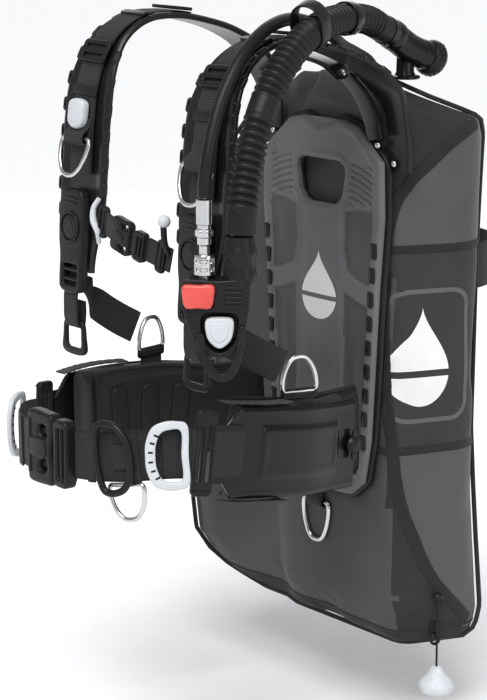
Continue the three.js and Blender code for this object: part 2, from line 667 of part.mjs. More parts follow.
function addHoses() {
  addPiece('corrugated_hose', tube(spline(CORRUGATED), HOSE_R, 22, 12), FINISH.rubber);
  const lowPressure = spline(LP_HOSE);
  addPiece('lp_hose', tube(lowPressure, LP_HOSE_R, 42, 8), FINISH.rubber);
  const end = lowPressure.getPointAt(1);
  const thread = turned([[0, -34], [4.8, -34], [4.8, -22], [8, -22], [8, -12], [6.5, -10], [6.5, 0], [0, 0]], 12);
  addPiece('first_stage_fitting', thread.translate(end.x, end.y, end.z - GAP), FINISH.steel);
}

// ---------------------------------------------------------------- inflator
function addInflator() {
  const group = new THREE.Group();
  group.position.set(INFLATOR.x, INFLATOR.y, 0);
  group.rotation.z = degrees(INFLATOR.turn);
  vest.add(group);
  const outline = new THREE.Shape();
  outline.moveTo(-30, 76);
  outline.lineTo(33, 76);
  outline.lineTo(34, 50);
  outline.lineTo(24, 12);
  outline.quadraticCurveTo(20, 4, 8, 4);
  outline.lineTo(-4, 4);
  outline.quadraticCurveTo(-16, 6, -20, 20);
  outline.lineTo(-32, 50);
  const inflateWell = box(-15, -14.5, 62.5, 33, 24, 25);
  const deflateWell = turned([[0, -20], [18.6, -20], [18.6, 8], [0, 8]], 16).rotateX(Math.PI / 2)
    .translate(5, -12, 28);
  const ribs = [0, 1, 2].map((i) => box(18, -17, 70 - i * 8, 22, 6, 4));
  const collar = turned([[0, 0], [16, 0], [15, 22], [13, 42], [0, 42]], 16).translate(23.5, 0, 76);
  const body = join(uprightSlab(outline, -16, 32, 5), collar.translate(0, 0, -1));
  const mouthBore = disc(9.3, 20, 14).rotateX(Math.PI / 2).translate(18, 16, 52);
  addPiece('inflator_body', cut(body, inflateWell, deflateWell, ...ribs, mouthBore), FINISH.moulded, group);

  addPiece('inflate_button', softSlab(31, 23, 16, 4, 1.5).translate(-15, -14.4, 62.5), FINISH.coral, group);
  const shield = new THREE.Shape();
  shield.moveTo(-13, 12);
  shield.quadraticCurveTo(0, 16, 13, 12);
  shield.lineTo(13, -2);
  shield.quadraticCurveTo(10, -12, 0, -16);
  shield.quadraticCurveTo(-10, -12, -13, -2);
  addPiece('deflate_button', uprightSlab(shield, -20, 13, 5).translate(5, 0, 28), FINISH.light, group);
  const coil = turned([[5, 0], [8, 0], [8, 10], [5, 10], [5, 0]], 12);
  addPiece('deflate_spring', coil.rotateX(Math.PI / 2).translate(5, 7.7, 28), FINISH.steel, group);

  const tip = turned([[0, 0], [8.8, 0], [8.8, 16], [13, 18], [14, 30], [0, 30]], 14).rotateX(-Math.PI / 2);
  addPiece('mouthpiece', tip.translate(18, 6.6, 52), FINISH.rubber, group);

  const nipple = turned([[0, 76.3], [5, 76.3], [5, 108], [7, 110], [8, 120], [7.2, 120], [7.2, 152.6], [0, 152.6]], 12);
  addPiece('lp_coupler', nipple.translate(-10, 0, 0), FINISH.steel, group);
  const grip = [[5.4, 80], [9, 80], [9.6, 84], [8.6, 88], [9.6, 92], [8.6, 96], [9, 100], [5.4, 100], [5.4, 80]];
  addPiece('coupler_sleeve', turned(grip, 14).translate(-10, 0, 0), FINISH.steel, group);
}

// ---------------------------------------------------------------- dump valve, its cord and knob
const PULL = { x: 137, y: 9, top: -306, knob: -386 };

function addDumpPull() {
  const { x, y, angle } = dumpPlace(-(WING.thick / 2 + 4.5));
  const body = turned([[0, -4], [5, -4], [5, 0], [22, 0], [22, 4], [17, 9], [0, 9]], 16).rotateX(-Math.PI / 2);
  addPiece('dump_valve', body.rotateZ(angle).translate(x, y, DUMP.z), FINISH.moulded);

  const cord = spline([[PULL.x, PULL.y, PULL.top], [PULL.x, PULL.y, -345], [PULL.x, PULL.y, PULL.knob + GAP]]);
  addPiece('dump_cord', tube(cord, CORD_R, 20, 8), FINISH.rubber);
  const bell = turned([[0, 0], [6, 0], [9, -6], [19, -17], [20, -23], [15, -30], [0, -30]], 8);
  addPiece('dump_knob', bell.translate(PULL.x, PULL.y, PULL.knob), FINISH.light);
}

// ---------------------------------------------------------------- assembly
function addBack() {
  addPiece('back_pad', backPad(), FINISH.pad);
  addPiece('backplate', backplate(), FINISH.moulded);
  const elbowBore = new THREE.CylinderGeometry(5, 5, 60, 10).rotateX(Math.PI / 2).translate(76, 6, 235);
  const inner = wingSheet(14, 16, WING.thick - 2 * WING.wall, 14);
  const cover = cut(wingSheet(16, 18, WING.thick, 0), inner, elbowBore, dumpBore(6));
  addPiece('wing_cover', cover, FINISH.fabric);
  addPiece('wing_bladder', wingSheet(14, 16, WING.thick - 2 * WING.wall - 6, 14, 1), FINISH.bladder);
  addPiece('tank_cradle', tankCradle(), FINISH.moulded);
  addPiece('tank_band', tankBand(), FINISH.webbing);
  addCamBuckle();
  const crotch = new THREE.Group();
  crotch.position.set(-10, -38, -226);
  addPiece('crotch_ring', dRing(40, 44, 2.6), FINISH.steel, crotch);
  vest.add(crotch);
}

addBack();
addPiece('neck_yoke', neckYoke(), FINISH.gloss);
for (const side of [1, -1]) {
  addShoulder(side);
  addHipSide(side);
}
addSternumStrap();
const pullSpot = onStrap(-1, 0.712, WEB_TOP + 6);
addPiece('shoulder_dump_knob', softSlab(27, 31, 11, 9, 2.5), FINISH.light, pullSpot);
addWaistFront();
addInflator();
addHoses();
addElbow();
addDumpPull();

export default vest;
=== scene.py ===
"""Looks of a back-inflation diving vest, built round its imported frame.

Everything is in metres in the frame's own axes: +Z up the spine, +Y towards the cylinder, +X to the wearer's left.
"""

import logging
import math
from dataclasses import dataclass, field
from enum import Enum
from typing import Callable, Optional, Sequence

import bmesh
import bpy
import numpy as np
from mathutils import Matrix, Vector
from mathutils.bvhtree import BVHTree


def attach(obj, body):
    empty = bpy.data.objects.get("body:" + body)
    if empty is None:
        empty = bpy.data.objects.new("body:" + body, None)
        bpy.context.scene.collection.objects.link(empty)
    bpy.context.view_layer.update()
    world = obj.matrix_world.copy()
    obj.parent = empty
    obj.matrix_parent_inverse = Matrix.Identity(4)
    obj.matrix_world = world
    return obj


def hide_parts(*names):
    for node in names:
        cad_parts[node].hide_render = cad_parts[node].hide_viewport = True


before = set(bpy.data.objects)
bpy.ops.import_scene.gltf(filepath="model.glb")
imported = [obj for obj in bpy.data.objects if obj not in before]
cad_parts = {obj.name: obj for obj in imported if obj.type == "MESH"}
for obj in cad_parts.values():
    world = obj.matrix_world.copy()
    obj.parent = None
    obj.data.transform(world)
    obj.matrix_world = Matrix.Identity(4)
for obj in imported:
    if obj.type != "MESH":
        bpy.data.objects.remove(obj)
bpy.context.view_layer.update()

LOG = logging.getLogger("vest")
MM = 0.001
UP = np.array([0.0, 0.0, 1.0])
ACROSS = np.array([1.0, 0.0, 0.0])
ROOT = "vest"

Point = Sequence[float]


class Side(Enum):
    """The wearer's left or right, as the sign of X."""

    LEFT = 1
    RIGHT = -1

    @property
    def word(self) -> str:
        """The side's name in the frame's node names."""
        return "left" if self is Side.LEFT else "right"


# ------------------------------------------------------------------ shader graph


class Value:
    """A socket whose arithmetic adds Math nodes to its graph."""

    def __init__(self, graph: "Graph", socket: bpy.types.NodeSocket) -> None:
        """Keeps the graph and the output socket."""
        self.graph = graph
        self.socket = socket

    def _join(self, operation: str, first: object, second: object) -> "Value":
        """Adds one Math node.

        Args:
            operation: the Math node's operation.
            first: left-hand number or value.
            second: right-hand number or value.

        Returns:
            The node's result.
        """
        return self.graph.add("Math", {"operation": operation}, {0: first, 1: second})[0]

    def __add__(self, other: object) -> "Value":
        """self + other."""
        return self._join("ADD", self, other)

    def __radd__(self, other: object) -> "Value":
        """other + self."""
        return self._join("ADD", other, self)

    def __sub__(self, other: object) -> "Value":
        """self - other."""
        return self._join("SUBTRACT", self, other)

    def __rsub__(self, other: object) -> "Value":
        """other - self."""
        return self._join("SUBTRACT", other, self)

    def __mul__(self, other: object) -> "Value":
        """self * other."""
        return self._join("MULTIPLY", self, other)

    def __rmul__(self, other: object) -> "Value":
        """other * self."""
        return self._join("MULTIPLY", other, self)

    def __pow__(self, other: object) -> "Value":
        """self ** other."""
        return self._join("POWER", self, other)

    def over(self, limit: float) -> "Value":
        """1 where the value is greater than the limit."""
        return self._join("GREATER_THAN", self, limit)

    def sine(self) -> "Value":
        """The sine of the value in radians."""
        return self.graph.add("Math", {"operation": "SINE"}, {0: self})[0]

    def size(self) -> "Value":
        """The value without its sign."""
        return self.graph.add("Math", {"operation": "ABSOLUTE"}, {0: self})[0]


class Graph:
    """The node tree of one material."""

    def __init__(self, name: str) -> None:
        """Makes an empty material with that name."""
        self.material = bpy.data.materials.new(name)
        self.material.use_nodes = True
        self.tree = self.material.node_tree
        self.tree.nodes.clear()

    def add(self, kind: str, settings: dict, sockets: dict) -> list[Value]:
        """Adds a shader node.

        Args:
            kind: the node's type after "ShaderNode".
            settings: attributes set first. "stops" holds a ramp's (place, colour) pairs.
            sockets: input name or number to a number, tuple or Value.

        Returns:
            The node's outputs in order.
        """
        node = self.tree.nodes.new("ShaderNode" + kind)
        for key, value in settings.items():
            if key == "stops":
                elements = node.color_ramp.elements
                while len(elements) < len(value):
                    elements.new(0.5)
                for element, (place, colour) in zip(elements, value):
                    element.position = place
                    element.color = (*colour, 1.0)
            else:
                setattr(node, key, value)
        for key, value in sockets.items():
            if isinstance(value, Value):
                self.tree.links.new(value.socket, node.inputs[key])
            else:
                node.inputs[key].default_value = value
        return [Value(self, out) for out in node.outputs]

    def place(self) -> Value:
        """The point's place on the object, in metres."""
        return self.add("TexCoord", {}, {})[3]

    def cloth_place(self) -> Value:
        """The point's place along and across a strap, in metres."""
        return self.add("UVMap", {"uv_map": "strap"}, {})[0]

    def split(self, vector: Value) -> list[Value]:
        """The three numbers of a vector."""
        return self.add("SeparateXYZ", {}, {0: vector})

    def noise(self, vector: Value, scale: float, detail: float = 3.0, roughness: float = 0.55) -> Value:
        """Smooth noise from 0 to 1 of about 1 / scale metres."""
        sockets = {"Vector": vector, "Scale": scale, "Detail": detail, "Roughness": roughness}
        return self.add("TexNoise", {}, sockets)[0]

    def ramp(self, factor: Value, stops: Sequence[tuple]) -> Value:
        """A colour ramp over a factor."""
        return self.add("ValToRGB", {"stops": stops}, {0: factor})[0]

    def mix(self, factor: object, first: object, second: object) -> Value:
        """A mix of two colours."""
        sockets = {0: factor, 6: first, 7: second}
        return self.add("Mix", {"data_type": "RGBA"}, sockets)[2]

    def edges(self) -> Value:
        """0 on flat and hollow surfaces, rising to 1 on outward edges."""
        pointed = self.add("NewGeometry", {}, {})[7]
        return self.add("MapRange", {"clamp": True}, {0: pointed, 1: 0.52, 2: 0.62, 3: 0.0, 4: 1.0})[0]

    def bump(self, height: Value, strength: float, distance: float) -> Value:
        """A normal from a height from 0 to 1, distance metres deep."""
        return self.add("Bump", {}, {"Height": height, "Strength": strength, "Distance": distance})[0]

    def finish(self, constants: dict, varying: dict) -> bpy.types.Material:
        """Adds the surface shader.

        Args:
            constants: sockets with one value all over.
            varying: sockets driven by the graph.

        Returns:
            The material.
        """
        shader = self.add("BsdfPrincipled", {}, {**constants, **varying})[0]
        self.add("OutputMaterial", {}, {0: shader})
        return self.material


def rgb(value: float, tint: float = 0.0) -> tuple[float, float, float, float]:
    """A grey with a slight blue tint, as linear colour."""
    return (value * (1 - tint), value, value * (1 + 1.6 * tint), 1.0)


def shades(low: float, high: float, tint: float = 0.02) -> list[tuple]:
    """Ramp stops between two greys."""
    return [(0.3, rgb(low, tint)[:3]), (0.72, rgb(high, tint)[:3])]


# ------------------------------------------------------------------ finishes


@dataclass(frozen=True)
class CoatedCloth:
    """Coated nylon: fine plain weave, soft creases and a faint sheen."""

    name: str
    low: float
    high: float
    roughness: float
    weave: float = 0.0011

    def build(self) -> bpy.types.Material:
        """Builds the material."""
        g = Graph(self.name)
        place = g.place()
        x, y, z = g.split(place)
        turns = 2 * math.pi / self.weave
        threads = ((x + y) * turns).sine() * (z * turns).sine()
        cloud = g.noise(place, 9.0, 4.0)
        grain = g.noise(place, 420.0, 2.0)
        creases = g.noise(place, 26.0, 5.0, 0.62)
        height = 0.10 * threads + 0.16 * grain + 0.9 * creases
        colour = g.ramp(cloud * 0.8 + grain * 0.2, shades(self.low, self.high, 0.012))
        varying = {
            "Base Color": colour,
            "Roughness": self.roughness - 0.12 * cloud + 0.1 * grain,
            "Normal": g.bump(height, 0.45, 0.0014),
        }
        return g.finish({"Sheen Weight": 0.08, "Sheen Roughness": 0.4, "Specular IOR Level": 0.3}, varying)


@dataclass(frozen=True)
class Woven:
    """Strap webbing: a chevron of raised yarns that runs along the strap, with plainer edges."""

    name: str
    low: float
    high: float
    width: float = 0.05
    rib: float = 0.0026

    def build(self) -> bpy.types.Material:
        """Builds the material."""
        g = Graph(self.name)
        u, v, _ = g.split(g.cloth_place())
        across = 2 * math.pi / self.rib
        rows = (u * across + (v * across * 0.5).sine() * 0.9).sine()
        yarns = (v * across).sine()
        edge = v.size().over(self.width / 2 - 0.0022)
        weave = (0.5 + 0.3 * rows + 0.2 * yarns) * (1 - 0.7 * edge)
        fuzz = g.noise(g.place(), 900.0, 3.0)
        varying = {
            "Base Color": g.ramp(weave * 0.75 + fuzz * 0.25, shades(self.low, self.high)),
            "Roughness": 0.72 + 0.15 * fuzz,
            "Normal": g.bump(weave + 0.25 * fuzz, 0.75, 0.0006),
        }
        return g.finish({"Sheen Weight": 0.08, "Sheen Roughness": 0.5, "Specular IOR Level": 0.25}, varying)


@dataclass(frozen=True)
class Moulded:
    """Moulded nylon or rubber: fine spark-eroded grain, slight mottling, edges polished by handling."""

    name: str
    low: float
    high: float
    roughness: float
    tint: float = 0.01
    coat: float = 0.0
    grain: float = 1500.0
    relief: float = 0.25

    def build(self) -> bpy.types.Material:
        """Builds the material."""
        g = Graph(self.name)
        place = g.place()
        cloud = g.noise(place, 14.0, 4.0)
        grain = g.noise(place, self.grain, 2.0)
        scuff = g.noise(place, 160.0, 6.0, 0.75)
        worn = g.edges()
        lift = self.high * 0.35
        base = g.ramp(cloud, shades(self.low, self.high, self.tint))
        colour = g.mix(worn * 0.8 * scuff, base, rgb(self.high + lift, self.tint))
        varying = {
            "Base Color": colour,
            "Roughness": self.roughness + 0.14 * (scuff - 0.5) - 0.1 * worn,
            "Normal": g.bump(0.7 * grain + 0.3 * scuff, self.relief, 0.0003),
        }
        return g.finish({"Coat Weight": self.coat, "Coat Roughness": 0.12, "Specular IOR Level": 0.2}, varying)


@dataclass(frozen=True)
class Polished:
    """Stainless steel or plated brass with fine drawing lines and small handling marks."""

    name: str
    tone: float = 0.66
    roughness: float = 0.16

    def build(self) -> bpy.types.Material:
        """Builds the material."""
        g = Graph(self.name)
        place = g.place()
        marks = g.noise(place, 240.0, 6.0, 0.7)
        cloud = g.noise(place, 40.0)
        varying = {
            "Base Color": g.ramp(cloud, shades(self.tone * 0.86, self.tone, 0.004)),
            "Roughness": self.roughness + 0.14 * marks,
            "Normal": g.bump(marks, 0.08, 0.0002),
        }
        return g.finish({"Metallic": 1.0}, varying)


class Finishes:
    """One material of each finish, made when it is first used."""

    recipes = {
        "wing": CoatedCloth("wing cloth", 0.040, 0.056, 0.56),
        "wing_panel": CoatedCloth("wing side cloth", 0.052, 0.074, 0.46),
        # Very dark cloth: on the wing's inner front panel it is painted shade; it also covers the strip along the lower
        # front hem.
        "dark_hem_and_painted_shade": CoatedCloth("dark hem and painted shade cloth", 0.012, 0.020, 0.7),
        "girdle": CoatedCloth("girdle cloth", 0.020, 0.030, 0.62),
        "outline": CoatedCloth("reflective outline", 0.075, 0.10, 0.4),
        "binding": Woven("edge binding", 0.008, 0.020, 0.02, 0.0021),
        "webbing": Woven("belt webbing", 0.008, 0.026, 0.05),
        "narrow_webbing": Woven("harness webbing", 0.008, 0.026, 0.038),
        "chest_webbing": Woven("chest webbing", 0.008, 0.026, 0.025),
        "elastic": Woven("gathered elastic", 0.020, 0.048, 0.03, 0.0018),
        "pad": Moulded("pad skin", 0.095, 0.128, 0.42, 0.012, 0.0, 900.0, 0.3),
        # Darker skin of the pad's sunken panels: painted shade in the recesses.
        "pad_panel_painted_shade": Moulded("pad sunken panel painted shade", 0.055, 0.078, 0.44, 0.012, 0.0, 900.0, 0.3),
        "pad_rim": Moulded("pad rim", 0.008, 0.013, 0.46, 0.01),
        "moulded": Moulded("black nylon", 0.007, 0.012, 0.38),
        "satin": Moulded("satin strap rubber", 0.007, 0.013, 0.33, 0.01, 0.15),
        "gloss": Moulded("gloss black", 0.003, 0.005, 0.24, 0.02, 0.12),
        "rubber": Moulded("hose rubber", 0.007, 0.012, 0.44, 0.0, 0.0, 700.0),
        "light": Moulded("light grey nylon", 0.50, 0.58, 0.42, 0.03),
        "mark": Moulded("printed mark", 0.66, 0.74, 0.5, 0.0),
        "steel": Polished("stainless steel"),
        "brass": Polished("plated fitting", 0.72, 0.12),
    }
    made: dict = {}

    @classmethod
    def get(cls, name: str) -> bpy.types.Material:
        """The material of a finish."""
        if name not in cls.made:
            cls.made[name] = cls.coral() if name == "coral" else cls.recipes[name].build()
        return cls.made[name]

    @staticmethod
    def coral() -> bpy.types.Material:
        """The inflate button's coral red."""
        g = Graph("coral red nylon")
        place = g.place()
        cloud = g.noise(place, 60.0, 4.0)
        grain = g.noise(place, 1200.0, 2.0)
        colour = g.ramp(cloud, [(0.3, (0.58, 0.06, 0.045)), (0.72, (0.68, 0.09, 0.07))])
        varying = {"Base Color": colour, "Roughness": 0.3 + 0.1 * cloud, "Normal": g.bump(grain, 0.2, 0.0002)}
        return g.finish({"Specular IOR Level": 0.5}, varying)


# ------------------------------------------------------------------ curves and meshes


def array(points: Sequence[Point]) -> np.ndarray:
    """Points as an array of floats."""
    return np.asarray(points, float)


def unit(vectors: np.ndarray) -> np.ndarray:
    """Vectors of length 1."""
    return vectors / np.maximum(np.linalg.norm(vectors, axis=-1, keepdims=True), 1e-12)


def smoothstep(value: np.ndarray, low: float, high: float) -> np.ndarray:
    """0 below low, 1 above high, smooth between."""
    t = np.clip((np.asarray(value, float) - low) / (high - low), 0.0, 1.0)
    return t * t * (3 - 2 * t)


class Path:
    """A centripetal Catmull-Rom curve through points, read by share of its length."""

    def __init__(self, points: Sequence[Point], closed: bool = False, per_span: int = 24) -> None:
        """Samples the curve finely.

        Args:
            points: the points that it passes, in millimetres.
            closed: whether it joins up.
            per_span: samples between two points.
        """
        p = array(points) * MM
        if closed:
            p = np.vstack([p[-1], p, p[0], p[1]])
        else:
            p = np.vstack([2 * p[0] - p[1], p, 2 * p[-1] - p[-2]])
        out = []
        for a, b, c, d in zip(p[:-3], p[1:-2], p[2:-1], p[3:]):
            k = [max(math.sqrt(np.linalg.norm(q - r)), 1e-6) for q, r in ((b, a), (c, b), (d, c))]
            t0, t1, t2, t3 = 0.0, k[0], k[0] + k[1], sum(k)
            t = np.linspace(t1, t2, per_span, endpoint=False)[:, None]
            a1 = (t1 - t) / (t1 - t0) * a + (t - t0) / (t1 - t0) * b
            a2 = (t2 - t) / (t2 - t1) * b + (t - t1) / (t2 - t1) * c
            a3 = (t3 - t) / (t3 - t2) * c + (t - t2) / (t3 - t2) * d
            b1 = (t2 - t) / (t2 - t0) * a1 + (t - t0) / (t2 - t0) * a2
            b2 = (t3 - t) / (t3 - t1) * a2 + (t - t1) / (t3 - t1) * a3
            out.append((t2 - t) / (t2 - t1) * b1 + (t - t1) / (t2 - t1) * b2)
        out.append(p[1:2] if closed else p[-2:-1])
        self.points = np.vstack(out)
        steps = np.linalg.norm(np.diff(self.points, axis=0), axis=1)
        self.walked = np.concatenate([[0.0], np.cumsum(steps)])
        self.length = float(self.walked[-1])

    def at(self, t: object) -> np.ndarray:
        """Points at shares of the length."""
        far = np.atleast_1d(t) * self.length
        return np.stack([np.interp(far, self.walked, self.points[:, i]) for i in range(3)], 1)

    def along(self, t: object) -> np.ndarray:
        """Directions at shares of the length."""
        t = np.atleast_1d(np.asarray(t, float))
        return unit(self.at(np.clip(t + 0.002, 0, 1)) - self.at(np.clip(t - 0.002, 0, 1)))

    def frames(self, t: object, across: np.ndarray) -> tuple[np.ndarray, np.ndarray, np.ndarray]:
        """Points, width directions and outward directions of a strap.

        Args:
            t: shares of the length.
            across: the way that the strap's width runs, before it is squared up, or one for each share.

        Returns:
            Points, unit width vectors and unit outward vectors.
        """
        at, along = self.at(t), self.along(t)
        wide = unit(across - along * np.sum(along * across, axis=1, keepdims=True))
        return at, wide, unit(np.cross(along, wide))

    def spot(self, t: float, across: np.ndarray, out: float = 0.0, flip: float = 1.0) -> Matrix:
        """A frame on the strap: X its width, Y into it, Z back along it, as the CAD groups have it."""
        at, wide, face = self.frames([t], across)
        face = face[0] * flip
        return basis(at[0] + face * out * MM, wide[0], -face, np.cross(face, wide[0]))


def basis(at: Point, x: Point, y: Point, z: Point) -> Matrix:
    """A matrix from a place and three axes."""
    return Matrix([[x[i], y[i], z[i], at[i]] for i in range(3)] + [[0, 0, 0, 1]])


def shift(x: float, y: float, z: float, turn: float = 0.0) -> Matrix:
    """A place in millimetres, turned about Z by degrees."""
    return Matrix.Translation((x * MM, y * MM, z * MM)) @ Matrix.Rotation(math.radians(turn), 4, "Z")


class Piece:
    """Makes named objects, dresses them and ties them to the frame."""

    count = 0

    @classmethod
    def add(cls, name: str, mesh: bpy.types.Mesh, finish: str, body: str = ROOT,
            replaces: Sequence[str] = (), slot: Optional[str] = None) -> bpy.types.Object:
        """Puts a mesh in the scene as one piece.

        Args:
            name: the piece's name.
            mesh: its mesh, already in place.
            finish: its finish's name.
            body: the body that it rides on.
            replaces: frame nodes that it stands for.
            slot: not used.

        Returns:
            The object.
        """
        obj = bpy.data.objects.new(name, mesh)
        bpy.context.scene.collection.objects.link(obj)
        mesh.materials.clear()
        mesh.materials.append(Finishes.get(finish))
        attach(obj, body)
        if replaces:
            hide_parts(*replaces)
        cls.count += 1
        return obj


def shell_faces(rows: int, wide: int) -> list[tuple[int, ...]]:
    """Faces of a closed shell between two grids of points, the second numbered after the first.

    Args:
        rows: rows of points in each grid.
        wide: points in each row.

    Returns:
        Vertex numbers of each face.
    """
    total = rows * wide
    grid = grid_faces(rows, wide)
    faces = grid + [tuple(total + k for k in f[::-1]) for f in grid]
    for j in range(wide - 1):
        last = (rows - 1) * wide + j
        faces += [(j, total + j, total + j + 1, j + 1), (last, last + 1, total + last + 1, total + last)]
    for i in range(rows - 1):
        a, b = i * wide, (i + 1) * wide - 1
        faces += [(a, a + wide, total + a + wide, total + a), (b, total + b, total + b + wide, b + wide)]
    return faces


def from_faces(points: np.ndarray, faces: Sequence[Sequence[int]], smooth: bool = True) -> bpy.types.Mesh:
    """A mesh with its faces turned outward.

    Args:
        points: its vertices.
        faces: vertex numbers of each face.
        smooth: whether it is shaded smooth, with sharp edges kept.

    Returns:
        The mesh.
    """
    mesh = bpy.data.meshes.new("piece")
    mesh.from_pydata([tuple(p) for p in points], [], [tuple(f) for f in faces])
    return tidy(mesh, smooth)


def tidy(mesh: bpy.types.Mesh, smooth: bool = True, crease: float = 38.0) -> bpy.types.Mesh:
    """Welds a mesh, turns its faces outward and shades it."""
    bm = bmesh.new()
    bm.from_mesh(mesh)
    bmesh.ops.remove_doubles(bm, verts=bm.verts, dist=1e-6)
    bmesh.ops.recalc_face_normals(bm, faces=bm.faces)
    limit = math.radians(crease)
    for edge in bm.edges:
        edge.smooth = len(edge.link_faces) != 2 or edge.calc_face_angle(0.0) < limit
    for face in bm.faces:
        face.smooth = smooth
    bm.to_mesh(mesh)
    bm.free()
    return mesh


def grid_faces(rows: int, columns: int, wrap: bool = False, start: int = 0) -> list[tuple[int, ...]]:
    """Quads of a grid of vertices, row by row."""
    faces = []
    for i in range(rows - 1):
        for j in range(columns if wrap else columns - 1):
            a, b = start + i * columns + j, start + i * columns + (j + 1) % columns
            faces.append((a, b, b + columns, a + columns))
    return faces


def lofted(rings: np.ndarray, closed: bool = False) -> bpy.types.Mesh:
    """A closed skin over rings of points.

    Args:
        rings: array of rings by points by 3.
        closed: whether the last ring joins the first.

    Returns:
        The mesh.
    """
    count, around = rings.shape[:2]
    points = rings.reshape(-1, 3)
    faces = grid_faces(count, around, wrap=True)
    if closed:
        last = (count - 1) * around
        faces += [(last + j, last + (j + 1) % around, (j + 1) % around, j) for j in range(around)]
    else:
        faces += [tuple(range(around)), tuple(range((count - 1) * around, count * around))[::-1]]
    return from_faces(points, faces)


def circle(sides: int, radius: float = 1.0) -> np.ndarray:
    """Points round a circle, as (sides, 2)."""
    angles = np.arange(sides) * 2 * math.pi / sides
    return np.stack([np.cos(angles), np.sin(angles)], 1) * radius


def transported(path: np.ndarray, closed: bool = False) -> tuple[np.ndarray, np.ndarray]:
    """Two directions square to a line of points that don't twist along it.

    Args:
        path: points.
        closed: whether the line joins up.

    Returns:
        Two arrays of unit vectors.
    """
    if closed:
        along = unit(np.roll(path, -1, 0) - np.roll(path, 1, 0))
    else:
        along = unit(np.gradient(path, axis=0))
    first = np.cross(along[0], UP if abs(along[0] @ UP) < 0.9 else ACROSS)
    side = [unit(first)]
    for direction in along[1:]:
        side.append(unit(side[-1] - direction * (side[-1] @ direction)))
    side = np.array(side)
    if closed:
        back = unit(side[-1] - along[0] * (side[-1] @ along[0]))
        twist = math.atan2(np.cross(side[0], back) @ along[0], side[0] @ back)
        turn = -twist * np.arange(len(path)) / len(path)
        other = np.cross(along, side)
        side = side * np.cos(turn)[:, None] + other * np.sin(turn)[:, None]
    return side, np.cross(along, side)


def tube(path: np.ndarray, radius: object, sides: int = 16, closed: bool = False,
         flat: float = 1.0) -> bpy.types.Mesh:
    """A tube along a line of points.

    Args:
        path: points in metres.
        radius: one radius or one for each point, in metres.
        sides: sides of its section.
        closed: whether it joins up.
        flat: thickness of the section in its second direction.

    Returns:
        The mesh.
    """
    side, other = transported(path, closed)
    radius = np.broadcast_to(np.asarray(radius, float), (len(path),))
    ring = circle(sides)
    rings = (path[:, None] + radius[:, None, None]
             * (ring[None, :, :1] * side[:, None] + flat * ring[None, :, 1:] * other[:, None]))
    return lofted(rings, closed)


def turned(profile: Sequence[Point], place: Matrix, sides: int = 32) -> bpy.types.Mesh:
    """A body turned about Z.

    Args:
        profile: (radius, height) pairs in millimetres from one end of the axis to the other.
        place: where it goes.
        sides: sides round it.

    Returns:
        The mesh.
    """
    p = array(profile) * MM
    p = np.vstack([[0.0, p[0, 1]], p, [0.0, p[-1, 1]]]) if p[0, 0] > 0 else p
    angles = np.arange(sides) * 2 * math.pi / sides
    keep = p[:, 0] > 1e-7
    inner = p[keep]
    rings = np.stack([inner[:, :1] * np.cos(angles), inner[:, :1] * np.sin(angles),
                      np.broadcast_to(inner[:, 1:], (len(inner), sides))], -1)
    mesh = lofted(rings)
    mesh.transform(place)
    return tidy(mesh)


def outline_curve(loops: Sequence[np.ndarray], depth: float, bevel: float, steps: int) -> bpy.types.Mesh:
    """A plate from flat outlines, whose later loops are holes, with rounded edges.

    Args:
        loops: arrays of (x, z) in millimetres.
        depth: full thickness in millimetres.
        bevel: edge radius in millimetres.
        steps: segments of the rounded edge.

    Returns:
        The mesh, thick along Y and centred on it.
    """
    data = bpy.data.curves.new("outline", "CURVE")
    data.dimensions = "2D"
    data.fill_mode = "BOTH"
    data.extrude = max(depth / 2 - bevel, 1e-3) * MM
    data.bevel_depth = bevel * MM
    data.bevel_resolution = steps
    data.offset = -bevel * MM
    for loop in loops:
        spline = data.splines.new("POLY")
        spline.points.add(len(loop) - 1)
        for point, (x, z) in zip(spline.points, loop):
            point.co = (x * MM, z * MM, 0.0, 1.0)
        spline.use_cyclic_u = True
    obj = bpy.data.objects.new("outline", data)
    bpy.context.scene.collection.objects.link(obj)
    graph = bpy.context.evaluated_depsgraph_get()
    mesh = bpy.data.meshes.new_from_object(obj.evaluated_get(graph))
    bpy.data.objects.remove(obj)
    mesh.transform(Matrix.Rotation(math.pi / 2, 4, "X"))
    return mesh


def rounded(width: float, height: float, radius: float, x: float = 0.0, z: float = 0.0,
            steps: int = 6) -> np.ndarray:
    """The outline of a rounded rectangle about (x, z), in millimetres."""
    out = []
    radius = min(radius, width / 2 - 0.01, height / 2 - 0.01)
    for quarter, (sx, sz) in enumerate(((1, 1), (-1, 1), (-1, -1), (1, -1))):
        for k in range(steps + 1):
            angle = (quarter + k / steps) * math.pi / 2
            out.append((x + sx * (width / 2 - radius) + radius * math.cos(angle),
                        z + sz * (height / 2 - radius) + radius * math.sin(angle)))
    return array(out)


def smooth_loop(points: Sequence[Point], count: int = 64) -> np.ndarray:
    """A smooth closed outline through (x, z) points in millimetres."""
    path = Path([(x, 0.0, z) for x, z in points], closed=True)
    return path.at(np.arange(count) / count)[:, [0, 2]] / MM


def plate(loops: Sequence[np.ndarray], depth: float, place: Matrix, bevel: float = 1.2,
          steps: int = 2) -> bpy.types.Mesh:
    """A rounded plate with holes, put in place."""
    mesh = outline_curve(loops, depth, bevel, steps)
    mesh.transform(place)
    return tidy(mesh)


def merged(meshes: Sequence[bpy.types.Mesh]) -> bpy.types.Mesh:
    """Several meshes as one."""
    bm = bmesh.new()
    for mesh in meshes:
        bm.from_mesh(mesh)
    out = bpy.data.meshes.new("piece")
    bm.to_mesh(out)
    bm.free()
    return out


